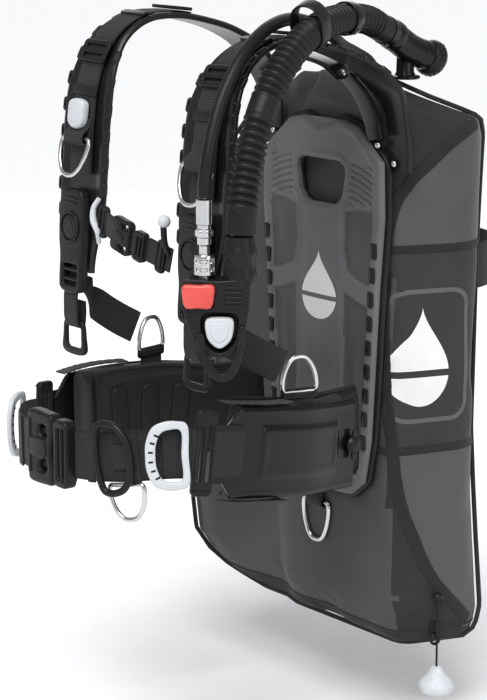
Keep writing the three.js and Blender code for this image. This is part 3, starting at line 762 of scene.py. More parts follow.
@dataclass
class Band:
    """A flat strap along a path, with rounded edges and a map of its length and width in metres."""

    path: Path
    across: np.ndarray | Callable[[np.ndarray], np.ndarray]
    width: Callable[[np.ndarray], np.ndarray] | float
    thick: float
    out: float = 0.0
    start: float = 0.0
    end: float = 1.0
    steps: int = 60
    flip: float = 1.0
    lanes: int = 10
    crown: float = 0.0
    edge: float = 0.5

    def surface(self, t: np.ndarray, v: np.ndarray, lift: np.ndarray) -> np.ndarray:
        """Points at shares of the length, places across in -1..1 and heights in millimetres."""
        across = self.across(t) if callable(self.across) else self.across
        at, wide, face = self.path.frames(t, across)
        half = (self.width(t) if callable(self.width) else np.full_like(t, self.width)) / 2 * MM
        return (at + wide * (v * half)[:, None] + face * self.flip * ((self.out + lift) * MM)[:, None])

    def mesh(self, relief: Optional[Callable[[np.ndarray, np.ndarray], np.ndarray]] = None) -> bpy.types.Mesh:
        """Builds the strap.

        Args:
            relief: extra height in millimetres of the outer face, from t and v.

        Returns:
            The closed mesh with the "strap" map.
        """
        t = np.linspace(self.start, self.end, self.steps)
        lanes = np.sin(np.linspace(-math.pi / 2, math.pi / 2, self.lanes + 1))
        around = np.concatenate([lanes, lanes[::-1]])
        outer = np.concatenate([np.ones(self.lanes + 1), -np.ones(self.lanes + 1)])
        tt, vv = np.meshgrid(t, around, indexing="ij")
        oo = np.broadcast_to(outer, vv.shape)
        fall = np.clip((1 - np.abs(vv)) / 0.12, 0, 1) ** 0.5
        height = oo * (self.thick / 2) * (self.edge + (1 - self.edge) * fall)
        height = height + (oo > 0) * self.crown * (1 - vv ** 2)
        if relief is not None:
            height = height + (oo > 0) * relief(tt, vv)
        points = self.surface(tt.ravel(), vv.ravel(), height.ravel())
        rings = points.reshape(len(t), len(around), 3)
        mesh = lofted_mapped(rings, t * self.path.length, vv[0], self.width_at(t))
        return mesh

    def width_at(self, t: np.ndarray) -> np.ndarray:
        """The strap's width at shares of the length, in metres."""
        return (self.width(t) if callable(self.width) else np.full_like(t, self.width)) * MM


def lofted_mapped(rings: np.ndarray, along: np.ndarray, around: np.ndarray,
                  width: np.ndarray) -> bpy.types.Mesh:
    """A skin over rings with a map of metres along and across."""
    mesh = lofted(rings)
    layer = mesh.uv_layers.new(name="strap")
    count = rings.shape[1]
    tree = {tuple(np.round(p, 6)): k for k, p in enumerate(rings.reshape(-1, 3))}
    keys = [tree.get(tuple(np.round(np.array(v.co), 6)), 0) for v in mesh.vertices]
    for loop in mesh.loops:
        row, lane = divmod(keys[loop.vertex_index], count)
        layer.data[loop.index].uv = (along[row], around[lane] * width[row] / 2)
    return mesh


# ------------------------------------------------------------------ stage and camera


@dataclass
class Studio:
    """A pale floor, soft lights and the camera."""

    eye: Point = (1.880, -1.6175, 0.477)
    target: Point = (-0.0464, -0.1113, -0.0528)
    lens: float = 119.6
    floor_z: float = -0.46

    def build(self) -> None:
        """Adds the camera, lights and floor."""
        self.camera()
        self.sun()
        self.light("key", (1.5, -2.3, 2.2), 1.4, 26.0)
        self.light("side fill", (2.7, 0.4, 0.7), 1.4, 12.0)
        self.light("back fill", (-2.4, 1.8, 1.6), 2.2, 20.0)
        world = bpy.data.worlds.new("soft room")
        bpy.context.scene.world = world
        world.use_nodes = True
        background = world.node_tree.nodes["Background"]
        background.inputs["Color"].default_value = (0.95, 0.97, 1.0, 1.0)
        background.inputs["Strength"].default_value = 0.42
        self.floor()
        bpy.context.scene.view_settings.view_transform = "Standard"

    def camera(self) -> None:
        """Adds the camera on the side of the wearer's left arm."""
        data = bpy.data.cameras.new("camera")
        data.lens = self.lens
        data.sensor_width = 36.0
        data.clip_end = 200.0
        obj = bpy.data.objects.new("camera", data)
        bpy.context.scene.collection.objects.link(obj)
        obj.location = self.eye
        aim = Vector(self.target) - Vector(self.eye)
        obj.rotation_euler = aim.to_track_quat("-Z", "Y").to_euler()
        bpy.context.scene.camera = obj

    @staticmethod
    def sun() -> None:
        """Adds the broad soft light that keeps the floor evenly pale."""
        data = bpy.data.lights.new("sun", "SUN")
        data.energy = 2.5
        data.angle = math.radians(34)
        obj = bpy.data.objects.new("sun", data)
        bpy.context.scene.collection.objects.link(obj)
        obj.rotation_euler = Vector((-0.42, 0.5, -1.0)).to_track_quat("-Z", "Y").to_euler()

    def light(self, name: str, at: Point, size: float, power: float) -> None:
        """Adds a square area light that faces the vest.

        Args:
            name: its name.
            at: its place in metres.
            size: its side in metres.
            power: its power in watts.
        """
        data = bpy.data.lights.new(name, "AREA")
        data.size = size
        data.energy = power
        obj = bpy.data.objects.new(name, data)
        bpy.context.scene.collection.objects.link(obj)
        obj.location = at
        obj.rotation_euler = (-Vector(at)).to_track_quat("-Z", "Y").to_euler()

    def floor(self) -> None:
        """Adds the plain flat floor, which reaches far away."""
        half = 60.0
        corners = [(-half, -half, self.floor_z), (half, -half, self.floor_z), (half, half, self.floor_z),
                   (-half, half, self.floor_z)]
        mesh = from_faces(array(corners), [(0, 1, 2, 3)])
        obj = bpy.data.objects.new("floor", mesh)
        bpy.context.scene.collection.objects.link(obj)
        g = Graph("pale floor")
        speck = g.noise(g.place(), 30.0, 2.0)
        colour = g.ramp(speck, [(0.3, (0.90, 0.90, 0.905)), (0.7, (0.92, 0.92, 0.925))])
        mesh.materials.append(g.finish({"Roughness": 0.9}, {"Base Color": colour}))


# ------------------------------------------------------------------ hoses


CORRUGATED = [[171.4, -285.6, 119.4], [171.2, -282.5, 150], [169, -270, 200], [163, -248, 243], [155, -219, 275],
              [145, -186, 297], [130, -148, 308], [113, -108, 310], [98, -66, 306], [88, -34, 294]]
LP_HOSE = [[149.6, -311.7, 154], [149.5, -310, 175], [147, -301, 208], [142, -284, 245], [135, -256, 280],
           [122, -222, 301], [106, -186, 310], [90, -152, 310], [76, -116, 302], [62, -84, 290], [44, -52, 276],
           [30, -22, 266], [22, 4, 254], [20, 20, 232], [20, 27, 195], [20, 28, 150], [20, 28, 104]]


@dataclass
class Hoses:
    """The corrugated hose with its elbow and valve, and the low-pressure hose with its fittings."""

    radius: float = 15.0
    rib: float = 7.4
    groove: float = 3.0
    hose: Path = field(default_factory=lambda: Path(CORRUGATED))
    thin: Path = field(default_factory=lambda: Path(LP_HOSE))

    def build(self) -> None:
        """Builds every hose piece."""
        self.corrugated()
        self.low_pressure()
        self.elbow()
        self.keepers()

    def corrugated(self) -> None:
        """The ribbed hose, with a smooth cuff at each end and a collar below its top bend."""
        length = self.hose.length / MM
        count = int(length / self.rib)
        t = np.linspace(0, 1, count * 9 + 1)
        wave = 0.5 - 0.5 * np.cos(2 * math.pi * count * t)
        radius = self.radius - self.groove * (1 - wave) ** 1.6
        smooth = np.maximum.reduce([1 - smoothstep(t, 0.055, 0.075), smoothstep(t, 0.945, 0.96),
                                    smoothstep(t, 0.285, 0.295) * (1 - smoothstep(t, 0.335, 0.345))])
        radius = radius * (1 - smooth) + (self.radius - 0.5) * smooth
        points = self.hose.at(t)
        mesh = tube(points, radius * MM, 24)
        obj = Piece.add("hose_corrugated", mesh, "rubber", replaces=["corrugated_hose"])

    def low_pressure(self) -> None:
        """The thin hose from the inflator's coupler to the regulator end."""
        t = np.linspace(0, 1, 160)
        points = self.thin.at(t)
        mesh = tube(points, 6.5 * MM, 20)
        end = points[-1]
        profile = [[4.6, -34], [4.8, -33], [4.8, -22], [8, -21.6], [8, -12.4], [7, -11], [6.9, -1], [6.4, 0]]
        fitting = turned(profile, Matrix.Translation(end), 24)
        stage_end = Piece.add("regulator_end", fitting, "brass", replaces=["first_stage_fitting"])
        obj = Piece.add("hose_low_pressure", mesh, "rubber", replaces=["lp_hose"])

    def elbow(self) -> None:
        """The elbow into the wing, with the overpressure valve's finned cap on its end."""
        start = self.hose.at(1)[0] / MM
        along = self.hose.along(1)[0]
        spine = Path([start + along * 0.3, start + along * 15, (82, 6, 273), (83, 28, 264)])
        t = np.linspace(0, 1, 40)
        radius = 15.2 + 0.8 * smoothstep(t, 0.16, 0.2) * (1 - smoothstep(t, 0.3, 0.34)) + 0.6 * smoothstep(t, 0.85, 0.9)
        body = tube(spine.at(t), radius * MM, 28)
        foot = turned([[11, -13], [11, -9], [9.4, -6], [9, 13]], shift(76, 6, 254), 28)
        flange = turned([[15, -2], [16, -1], [15.6, 1], [10, 2.5]], shift(76, 6, 243), 28)
        Piece.add("elbow", merged([body, foot, flange]), "gloss", replaces=["hose_elbow"])
        end, way = spine.at(1)[0], spine.along(1)[0]
        place = Matrix.Translation(end + way * 0.3 * MM) @ Vector(way).to_track_quat("Z", "Y").to_matrix().to_4x4()
        cap = turned([[16.6, 0], [18.6, 2.6], [18.9, 6], [18.2, 13], [16, 16.4], [12, 18.6], [6, 19]], place, 36)
        fins = []
        for k in range(18):
            turn = Matrix.Rotation(k * math.pi / 9, 4, "Z")
            fin = plate([rounded(3, 9, 1.2)], 1.3, place @ turn @ shift(18.4, 0, 8, 90), 0.4, 1)
            fins.append(fin)
        Piece.add("overpressure_valve", merged([cap, *fins]), "moulded", replaces=["overpressure_cap"])

    def keepers(self) -> None:
        """The plain loop strap over the hose and the narrow band round it."""
        at, way = self.hose.at(0.60)[0], self.hose.along(0.60)[0]
        wide = unit(np.cross(way, UP))
        up = np.cross(wide, way)
        loop = []
        for k in range(40):
            angle = 2 * math.pi * k / 40
            lift = 13.0 * max(0.0, math.sin(angle)) ** 2
            reach = (16.4 + lift) * MM
            loop.append(at + wide * math.cos(angle) * reach * 1.02 + up * math.sin(angle) * reach)
        loop = array(loop)
        Piece.add("hose_loop", self.round_strap(loop, way, 17, 2.4), "moulded")
        at, way = self.hose.at(0.80)[0], self.hose.along(0.80)[0]
        wide = unit(np.cross(way, UP))
        up = np.cross(wide, way)
        angles = np.arange(40) * 2 * math.pi / 40
        ring = at + 16.2 * MM * (np.cos(angles)[:, None] * wide + np.sin(angles)[:, None] * up)
        Piece.add("hose_band", self.round_strap(ring, way, 13, 1.8), "gloss")

    @staticmethod
    def round_strap(loop: np.ndarray, way: np.ndarray, width: float, thick: float) -> bpy.types.Mesh:
        """A flat strap round a closed loop of points.

        Args:
            loop: its centreline.
            way: direction of its width.
            width: width in millimetres.
            thick: thickness in millimetres.

        Returns:
            The mesh.
        """
        along = unit(np.roll(loop, -1, 0) - np.roll(loop, 1, 0))
        out = unit(np.cross(along, way))
        section = rounded(width, thick, thick * 0.45, steps=3) * MM
        rings = loop[:, None] + section[None, :, :1] * way + section[None, :, 1:] * out[:, None]
        return lofted(rings, closed=True)


# ------------------------------------------------------------------ inflator


@dataclass
class Inflator:
    """The hand unit: body, two buttons, mouthpiece and the quick coupler."""

    x: float = 156.0
    y: float = -304.0
    turn: float = 50.0

    def here(self, x: float = 0.0, y: float = 0.0, z: float = 0.0) -> Matrix:
        """A place in the unit's own axes, in millimetres: -Y is the way its buttons face."""
        return shift(self.x, self.y, 0, self.turn) @ shift(x, y, z)

    def build(self) -> None:
        """Builds every piece of the unit."""
        self.body()
        self.buttons()
        self.mouth()
        self.coupler()

    def body(self) -> None:
        """The housing: two shells, a ribbed grip plate, button wells, a lower guard and the hose collar."""
        outline = smooth_loop([(-29, 76), (0, 77), (32, 76), (33.5, 60), (31, 38), (25, 16), (14, 5), (2, 3.5),
                               (-10, 6), (-18, 16), (-25, 34), (-31, 56)], 72)
        well = rounded(34, 26, 4, -15, 62.5)
        shield_well = smooth_loop([(-11, 44), (5, 46.5), (21, 44), (22, 28), (17, 15), (5, 8), (-7, 15), (-12, 28)], 48)
        front = plate([outline, well, shield_well], 14, self.here(0, -9), 2.0, 3)
        middle = plate([outline * 0.985 + [0.1, 0.4]], 5, self.here(0, 0.2), 0.8)
        rear = plate([outline], 14.4, self.here(0, 8.8), 3.4, 4)
        wells = plate([rounded(33, 25, 4, -15, 62.5)], 2, self.here(0, -1.4), 0.4)
        shells = [front, middle, rear, wells]
        for k in range(5):
            shells.append(plate([rounded(17, 2.0, 0.9, 18.5, 70.5 - 4.6 * k)], 2.4, self.here(0, -16.2), 0.7))
        guard = smooth_loop([(-16, 26), (-13, 4), (-4, -14), (8, -20), (19, -14), (27, 8), (29, 34), (24, 34), (21, 12),
                             (15, -6), (8, -12), (1, -7), (-7, 8), (-11, 27)], 60)
        shells.append(plate([guard], 5, self.here(0, -17.2), 1.5, 2))
        for x, z in ((27, 50), (-26, 46), (26, 73)):
            screw = turned([[2.4, 0], [2.4, 1.0], [1.6, 1.5]], self.here(x, -15.6, z) @ Matrix.Rotation(math.pi / 2, 4, "X"))
            shells.append(screw)
        collar = turned([[16, 75], [16.4, 78], [16.2, 84], [15.3, 86], [15.3, 97], [16.3, 98.5], [16.3, 104],
                         [15.2, 106], [14.6, 113], [13.4, 117.6]], self.here(23.5, 0), 40)
        shells.append(collar)
        Piece.add("inflator_housing", merged(shells), "moulded", replaces=["inflator_body"])

    def buttons(self) -> None:
        """The coral inflate button and the light shield-shaped deflate button with its coil spring."""
        button = smooth_loop([(-14.5, 10.5), (0, 11), (14.5, 10.5), (15, 0), (12, -10.5), (0, -11), (-12, -10.5),
                              (-15, 0)], 48)
        press = plate([button], 15.6, self.here(-15, -14.4, 62.5), 2.6, 4)
        Piece.add("inflate_press", press, "coral", "inflate_button", ["inflate_button"])
        shield = smooth_loop([(-12.4, 12), (0, 14), (12.4, 12), (13, 0), (9.5, -9), (0, -15.4), (-9.5, -9), (-13, 0)], 60)
        base = plate([shield], 12, self.here(5, -13.6, 28), 2.4, 4)
        inner = plate([shield * 0.66 + [0, 1]], 2, self.here(5, -19.6, 28), 0.8, 2)
        Piece.add("deflate_press", merged([base, inner]), "light", "deflate_button", ["deflate_button"])
        coil = []
        for k in range(90):
            angle = k * 2 * math.pi / 18
            coil.append(self.here(5 + 6.6 * math.cos(angle), 6.9 - 8.2 * k / 90, 28 + 6.6 * math.sin(angle)).translation)
        spring = tube(array(coil), 0.7 * MM, 8)
        Piece.add("deflate_coil", spring, "steel", replaces=["deflate_spring"])

    def mouth(self) -> None:
        """The soft oval mouthpiece on the unit's back."""
        place = self.here(18, 6.6, 52) @ Matrix.Rotation(-math.pi / 2, 4, "X")
        body = turned([[8.6, 0.4], [8.8, 12], [10.4, 15.4], [12.6, 17.4], [13.6, 20], [12.8, 22], [13, 26], [14, 28.4],
                       [13.4, 30], [9, 30], [8, 22]], place, 36)
        Piece.add("mouthpiece_rubber", body, "rubber", replaces=["mouthpiece"])

    def coupler(self) -> None:
        """The plated nipple with its hex and ferrule, and the sliding knurled sleeve."""
        rise = self.here(-10)
        nipple = turned([[5, 76.6], [5, 108], [6.8, 110], [6.8, 116], [7.6, 117], [7.6, 124], [6.6, 125], [6.6, 128],
                         [7.7, 129], [7.7, 152], [7.0, 152.5]], rise, 30)
        hexagon = plate([circle(6, 8.6)], 6, rise @ shift(0, 0, 120.5) @ Matrix.Rotation(math.pi / 2, 4, "X"), 0.6, 2)
        Piece.add("coupler_nipple", merged([nipple, hexagon]), "steel", replaces=["lp_coupler"])
        sleeve = turned([[5.5, 80.2], [8.8, 80.2], [9.6, 81], [9.6, 84], [8.4, 85], [8.4, 87], [9.5, 88], [9.5, 92],
                         [8.4, 93], [8.4, 95], [9.3, 96], [9.3, 99.2], [8.8, 99.9], [5.5, 99.9]], rise, 36)
        grips = []
        for k in range(12):
            place = rise @ Matrix.Rotation(k * math.pi / 6, 4, "Z") @ shift(9.1, 0, 90, 90)
            grips.append(plate([rounded(1.6, 13, 0.7)], 1.0, place, 0.3, 1))
        Piece.add("coupler_collar", merged([sleeve, *grips]), "steel", "coupler_sleeve", ["coupler_sleeve"])


# ------------------------------------------------------------------ wing


@dataclass
class Wing:
    """The air wing: a soft flat bag whose left half is folded back, with its seams, band, marks and rear dump."""

    mid_y: float = -19.5
    thick: float = 22.0
    top: float = 247.0
    low: float = -362.0
    spread: float = 16.0
    bend: float = 26.0
    outer_y: float = 66.0
    curl: float = math.radians(118)
    rows: int = 84
    columns: int = 76
    fold = [[247, 60], [200, 68], [130, 78], [60, 84], [-140, 84], [-200, 90], [-260, 98], [-320, 106], [-362, 110]]
    outer_x = [[247, 92], [205, 113], [60, 109], [-140, 105], [-260, 121], [-362, 137]]
    pull_x: float = 137.0
    pull_y: float = 9.0
    left = [[247, 58], [236, 85], [222, 118], [210, 150], [204, 166], [196, 186], [180, 196],
            [-200, 198], [-330, 206], [-352, 196], [-362, 178]]
    right = [[247, 58], [232, 96], [212, 128], [180, 166], [140, 204], [95, 230], [45, 248], [-30, 260],
             [-160, 262], [-250, 256], [-312, 248], [-334, 226], [-350, 190], [-362, 120]]
    seam = [[196, 166], [178, 140], [154, 114], [138, 97], [122, 88], [60, 82], [-140, 88], [-227, 104], [-292, 136],
            [-340, 184]]

    @staticmethod
    def look_up(table: Sequence[Point], z: np.ndarray) -> np.ndarray:
        """Values of a table of (z, value) from high to low."""
        rows = array(table)[::-1]
        return np.interp(z, rows[:, 0], rows[:, 1])

    def line(self, s: np.ndarray, z: float) -> tuple[np.ndarray, np.ndarray, np.ndarray]:
        """Places along the wing's middle sheet at one height.

        Args:
            s: distances along the sheet from its middle, left positive, in millimetres.
            z: the height.

        Returns:
            x, y and the sheet's heading.
        """
        fold = float(self.look_up(self.fold, z))
        run = float(self.look_up(self.outer_x, z)) - fold
        side, panel = math.atan2(self.outer_y - self.mid_y, run), math.hypot(self.outer_y - self.mid_y, run)
        step = 2.0
        walked = np.arange(0, 300, step)
        folding = np.clip((walked - fold + self.bend / 2) / self.bend, 0, 1)
        curling = np.clip((walked - fold - panel + self.bend / 2) / self.bend, 0, 1)
        left = side * folding + (self.curl - side) * curling
        right = math.radians(self.spread) * np.maximum(0, (walked - 120) / 142)
        right = right - math.radians(16) * ((walked > 62) & (walked < 92))
        lx = np.concatenate([[0], np.cumsum(step * np.cos(left))])
        ly = np.concatenate([[0], np.cumsum(step * np.sin(left))])
        rx = -np.concatenate([[0], np.cumsum(step * np.cos(right))])
        ry = -np.concatenate([[0], np.cumsum(step * np.sin(right))])
        reach = np.concatenate([-(np.arange(len(rx)) * step)[::-1], (np.arange(1, len(lx)) * step)])
        x = np.interp(s, reach, np.concatenate([rx[::-1], lx[1:]]))
        y = np.interp(s, reach, np.concatenate([ry[::-1], ly[1:]])) + self.mid_y
        angle = np.interp(s, reach, np.concatenate([right[::-1], right[:1], left]))
        return x, y, angle

    def sheet(self, s: np.ndarray, z: np.ndarray, lift: float) -> np.ndarray:
        """Points on the front face at (s, z), lifted off it by so many millimetres."""
        out = []
        for one_s, one_z in zip(np.ravel(s), np.ravel(z)):
            x, y, angle = self.line(array([one_s]), float(one_z))
            half = self.thick / 2 + lift
            out.append((x[0] + math.sin(angle[0]) * half, y[0] - math.cos(angle[0]) * half, one_z))
        return array(out) * MM

    def bag(self) -> tuple[bpy.types.Mesh, np.ndarray, np.ndarray, np.ndarray]:
        """The bag before its air goes in.

        Returns:
            The mesh, and for each vertex its s, z and whether the back plate holds it.
        """
        fronts, backs, ss, zz = [], [], [], []
        for i in range(self.rows + 1):
            v = i / self.rows
            z = self.top - (self.top - self.low) * (0.55 * (0.5 - 0.5 * math.cos(math.pi * v)) + 0.45 * v)
            left, right = float(self.look_up(self.left, z)), float(self.look_up(self.right, z))
            s = -right + (left + right) * np.arange(self.columns + 1) / self.columns
            edge = np.minimum(np.minimum(s + right, left - s), min(self.top - z, z - self.low))
            half = (self.thick / 2 - 2.0) * np.sqrt(np.clip(0.03 + edge / 42, 0, 1))
            x, y, angle = self.line(s, z)
            fronts.append(np.stack([x + np.sin(angle) * half, y - np.cos(angle) * half, np.full_like(x, z)], 1))
            backs.append(np.stack([x - np.sin(angle) * half, y + np.cos(angle) * half, np.full_like(x, z)], 1))
            ss.append(s)
            zz.append(np.full_like(s, z))
        wide = self.columns + 1
        faces = shell_faces(self.rows + 1, wide)
        points = np.vstack([*fronts, *backs]) * MM
        mesh = bpy.data.meshes.new("bag")
        mesh.from_pydata([tuple(p) for p in points], [], faces)
        bm = bmesh.new()
        bm.from_mesh(mesh)
        bmesh.ops.recalc_face_normals(bm, faces=bm.faces)
        bm.to_mesh(mesh)
        bm.free()
        s, z = np.tile(np.concatenate(ss), 2), np.tile(np.concatenate(zz), 2)
        held = (np.abs(s) < 78) & (z < 175) & (z > -195)
        return mesh, s, z, held

    def build(self) -> None:
        """Builds the bag and all that is sewn to it."""
        mesh, s, z, held = self.bag()
        obj = bpy.data.objects.new("wing_bag", mesh)
        bpy.context.scene.collection.objects.link(obj)
        before = array([v.co for v in mesh.vertices])
        Cloth(pressure=5.0, cap=7.0, shrink=-0.05).inflate(obj, held.astype(float))
        after = self.creased(array([v.co for v in obj.data.vertices]), before, s, z, held)
        obj.data.vertices.foreach_set("co", after.astype(np.float32).ravel())
        self.dress(obj, s, z)
        self.tree = BVHTree.FromObject(obj, bpy.context.evaluated_depsgraph_get())
        self.trim()
        self.marks()
        self.rear_dump()

    def creased(self, points: np.ndarray, before: np.ndarray, s: np.ndarray, z: np.ndarray,
                held: np.ndarray) -> np.ndarray:
        """Adds the long soft creases that run off the seams, and keeps the cloth off the back plate.

        Args:
            points: vertices after the simulation.
            before: vertices before it.
            s: distance of each along the sheet.
            z: height of each.
            held: whether the back plate holds each.

        Returns:
            The vertices.
        """
        free = 1 - held
        wave = (np.sin(z / 23 + s / 31) + 0.7 * np.sin(z / 13 - s / 19 + 1.3) + 0.5 * np.sin(s / 11 + z / 47)) / 2.2
        edge = np.minimum(self.look_up(self.left, z) - s, s + self.look_up(self.right, z))
        near_seam = np.exp(-np.abs(edge - 18) / 34)
        depth = (0.5 + 1.5 * near_seam) * free * wave * MM
        middle = np.tile((before[:len(before) // 2] + before[len(before) // 2:]) / 2, (2, 1))
        out = unit(before - middle + 1e-9)
        points = points + out * depth[:, None] * smoothstep(edge, 2, 16)[:, None]
        low = self.low + 1.0
        points[:, 2] = np.clip(points[:, 2], low * MM, (self.top + 3) * MM)
        plate_zone = (np.abs(points[:, 0]) < 0.1) & (np.abs(points[:, 2]) < 0.21)
        points[plate_zone, 1] = np.maximum(points[plate_zone, 1], -0.0312)
        return points

    def dress(self, obj: bpy.types.Object, s: np.ndarray, z: np.ndarray) -> None:
        """Smooths the bag and gives each of its panels its cloth; the very dark cloth on the inner front panel is
        painted shade.

        Args:
            obj: the bag.
            s: distance of each vertex along the sheet.
            z: height of each vertex.
        """
        mesh = obj.data
        names = ["wing", "wing_panel", "dark_hem_and_painted_shade", "girdle"]
        for name in names:
            mesh.materials.append(Finishes.get(name))
        half = len(s) // 2
        for face in mesh.polygons:
            ids = list(face.vertices)
            fs, fz = float(s[ids].mean()), float(z[ids].mean())
            fold = float(self.look_up(self.fold, fz))
            hem = min(fz - self.low, fs + float(self.look_up(self.right, fz)) + 6)
            front = ids[0] < half
            index = 0
            # Between the fold and the seam the inner front panel takes the very dark cloth, which paints its shade.
            if fs > fold + 2:
                index = 1 if fs > float(self.look_up(self.seam, fz)) else 2
            if -150 < fz < 65 and (fs > fold + 4 or fs < -196):
                index = 3
            # The strip along the lower front hem takes the same very dark cloth.
            if front and hem < 17 and fz < -150:
                index = 2
            face.material_index = index
            face.use_smooth = True
        smooth = obj.modifiers.new("smooth", "SUBSURF")
        smooth.levels = smooth.render_levels = 1
        bpy.context.view_layer.objects.active = obj
        bpy.ops.object.modifier_apply(modifier="smooth")
        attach(obj, ROOT)
        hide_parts("wing_cover", "wing_bladder")
        Piece.count += 1

    def onto(self, points: np.ndarray, lift: float) -> np.ndarray:
        """Points moved onto the bag's surface and lifted off it.

        Args:
            points: places near the surface.
            lift: millimetres above it.

        Returns:
            The moved points.
        """
        out = []
        for point in points:
            at, normal, _, _ = self.tree.find_nearest(Vector(point))
            out.append(np.array(at) + np.array(normal) * lift * MM)
        return array(out)

    def tape(self, points: np.ndarray, width: float, thick: float) -> bpy.types.Mesh:
        """A tape sewn flat on the bag along a line.

        Args:
            points: the line, near the surface.
            width: its width in millimetres.
            thick: its height above the cloth in millimetres.

        Returns:
            The mesh, with its "strap" map.
        """
        centre, normals = [], []
        for point in points:
            at, normal, _, _ = self.tree.find_nearest(Vector(point))
            centre.append(at)
            normals.append(normal)
        centre, normals = array(centre), array(normals)
        for _ in range(3):
            normals[1:-1] = unit(normals[:-2] + normals[1:-1] * 2 + normals[2:])
        along = unit(np.gradient(centre, axis=0))
        side = unit(np.cross(along, normals))
        lanes = np.linspace(-1, 1, 7)
        top = [self.onto(centre + side * v * width / 2 * MM, thick * (0.35 if abs(v) > 0.9 else 1.0)) for v in lanes]
        base = [self.onto(centre + side * v * width / 2 * MM, -1.2) for v in lanes[::-1]]
        rings = np.stack([*top, *base], 1)
        walked = np.concatenate([[0], np.cumsum(np.linalg.norm(np.diff(centre, axis=0), axis=1))])
        return lofted_mapped(rings, walked, np.concatenate([lanes, lanes[::-1]]), np.full(len(centre), width * MM))

    def trim(self) -> None:
        """The seam binding, the edge piping, the hem stitching and the girdle's outline."""
        seam = Path([(s, 0, z) for z, s in self.seam]).at(np.linspace(0, 1, 110)) / MM
        points = self.sheet(seam[:, 0], seam[:, 2], 0.0)
        Piece.add("seam_binding", self.tape(points, 14, 1.3), "binding")
        edge = []
        for table, sign in ((self.right, -1), (self.left, 1)):
            side = []
            for z in np.linspace(self.top - 4, self.low + 2, 90):
                reach = float(self.look_up(table, z)) - 1.0
                x, y, _ = self.line(array([sign * reach]), float(z))
                side.append((x[0], y[0], z))
            edge.append(side)
        reach_right = float(self.look_up(self.right, self.low))
        reach_left = float(self.look_up(self.left, self.low))
        bottom = []
        for s in np.linspace(-reach_right, reach_left, self.columns):
            x, y, _ = self.line(array([s]), self.low + 2)
            bottom.append((x[0], y[0], self.low + 2))
        line = array(edge[0] + bottom[1:-1] + edge[1][::-1]) * MM
        piping = tube(line, 2.6 * MM, 10)
        Piece.add("edge_piping", piping, "binding")
        hem = []
        for s in np.linspace(-196, 200, 90):
            hem.append(self.sheet(array([s]), array([self.low + 17.0]), 0.0)[0])
        Piece.add("hem_stitching", self.tape(array(hem), 3.2, 0.7), "binding")
        for name, s_from, s_to in (("near", 84.0, 164.0), ("far", -252.0, -204.0)):
            loop = rounded(abs(s_to - s_from), 140, 16, (s_from + s_to) / 2, -49, steps=6)
            dense = []
            for a, b in zip(loop, np.roll(loop, -1, 0)):
                count = max(1, int(np.linalg.norm(b - a) / 6))
                dense += [a + (b - a) * k / count for k in range(count)]
            dense = array(dense + dense[:2])
            points = self.sheet(dense[:, 0], dense[:, 1], 0.0)
            Piece.add(f"girdle_outline_{name}", self.tape(points, 5.0, 0.5), "outline")
            for word, z in (("upper", 66.0), ("lower", -151.0)):
                s = np.linspace(s_from - 12, s_to + 30, 34)
                points = self.sheet(s, np.full_like(s, z), 0.0)
                Piece.add(f"girdle_border_{name}_{word}", self.tape(points, 9.0, 1.0), "binding")

    def marks(self) -> None:
        """The plain printed drop with a level gap, on both lobes."""
        for name, s, width in (("near", 113.0, 62.0), ("far", -228.0, 40.0)):
            mesh = drop_mark(width, 107.0)
            points = array([v.co for v in mesh.vertices]) / MM
            flat = self.sheet(points[:, 0] + s, points[:, 2] - 50, 1.0)
            raised = self.onto(flat, 0.55)
            for vertex, point in zip(mesh.vertices, raised):
                vertex.co = point
            mesh.update()
            Piece.add(f"wing_mark_{name}", thickened(mesh, 0.35), "mark")

    def rear_dump(self) -> None:
        """The rear dump valve, its cord through the hem, and the light bell knob."""
        x, y, angle = self.line(array([150.0]), -322.0)
        out = -(self.thick / 2 + 4.5)
        place = shift(x[0] + math.sin(angle[0]) * out, y[0] - math.cos(angle[0]) * out, -322, math.degrees(angle[0]))
        place = place @ Matrix.Rotation(-math.pi / 2, 4, "X")
        body = turned([[5, -4], [5, -0.5], [21, 0], [22, 1], [22, 4], [20, 6.4], [17, 8.4], [12, 9]], place, 40)
        ribs = [plate([rounded(9, 1.6, 0.7, 15, 0)], 1.2,
                      place @ Matrix.Rotation(k * math.pi / 6, 4, "Z") @ Matrix.Rotation(math.pi / 2, 4, "X")
                      @ shift(0, -8.2, 0), 0.4, 1) for k in range(12)]
        Piece.add("rear_dump_valve", merged([body, *ribs]), "moulded", replaces=["dump_valve"])
        line = array([(self.pull_x, self.pull_y, z) for z in np.linspace(-306, -385.7, 24)]) * MM
        cord = Piece.add("pull_cord", tube(line, 1.2 * MM, 10), "rubber", "dump_pull", ["dump_cord"])
        bell = turned([[5.4, 0], [6.4, -1], [8, -4.5], [10, -8], [17, -15], [19.4, -18], [20, -22], [18.6, -26],
                       [15.5, -29.4], [8, -30]], shift(self.pull_x, self.pull_y, -386), 8)
        beveled(bell, 1.6)
        knob = Piece.add("pull_bell", bell, "light", "dump_pull", ["dump_knob"])
        tab = plate([rounded(14, 18, 4)], 2.6, shift(self.pull_x - 5, self.pull_y + 3, -346, 80), 1.0, 2)
        ring = plate([circle(28, 7.0), circle(28, 3.6)], 3, shift(self.pull_x - 3, self.pull_y, -356, 80), 1.2, 2)
        guide = turned([[4.4, -2], [5.6, -1], [5.6, 2], [3.6, 4]], shift(self.pull_x, self.pull_y, -308), 20)
        Piece.add("cord_guide", merged([ring, tab, guide]), "moulded")


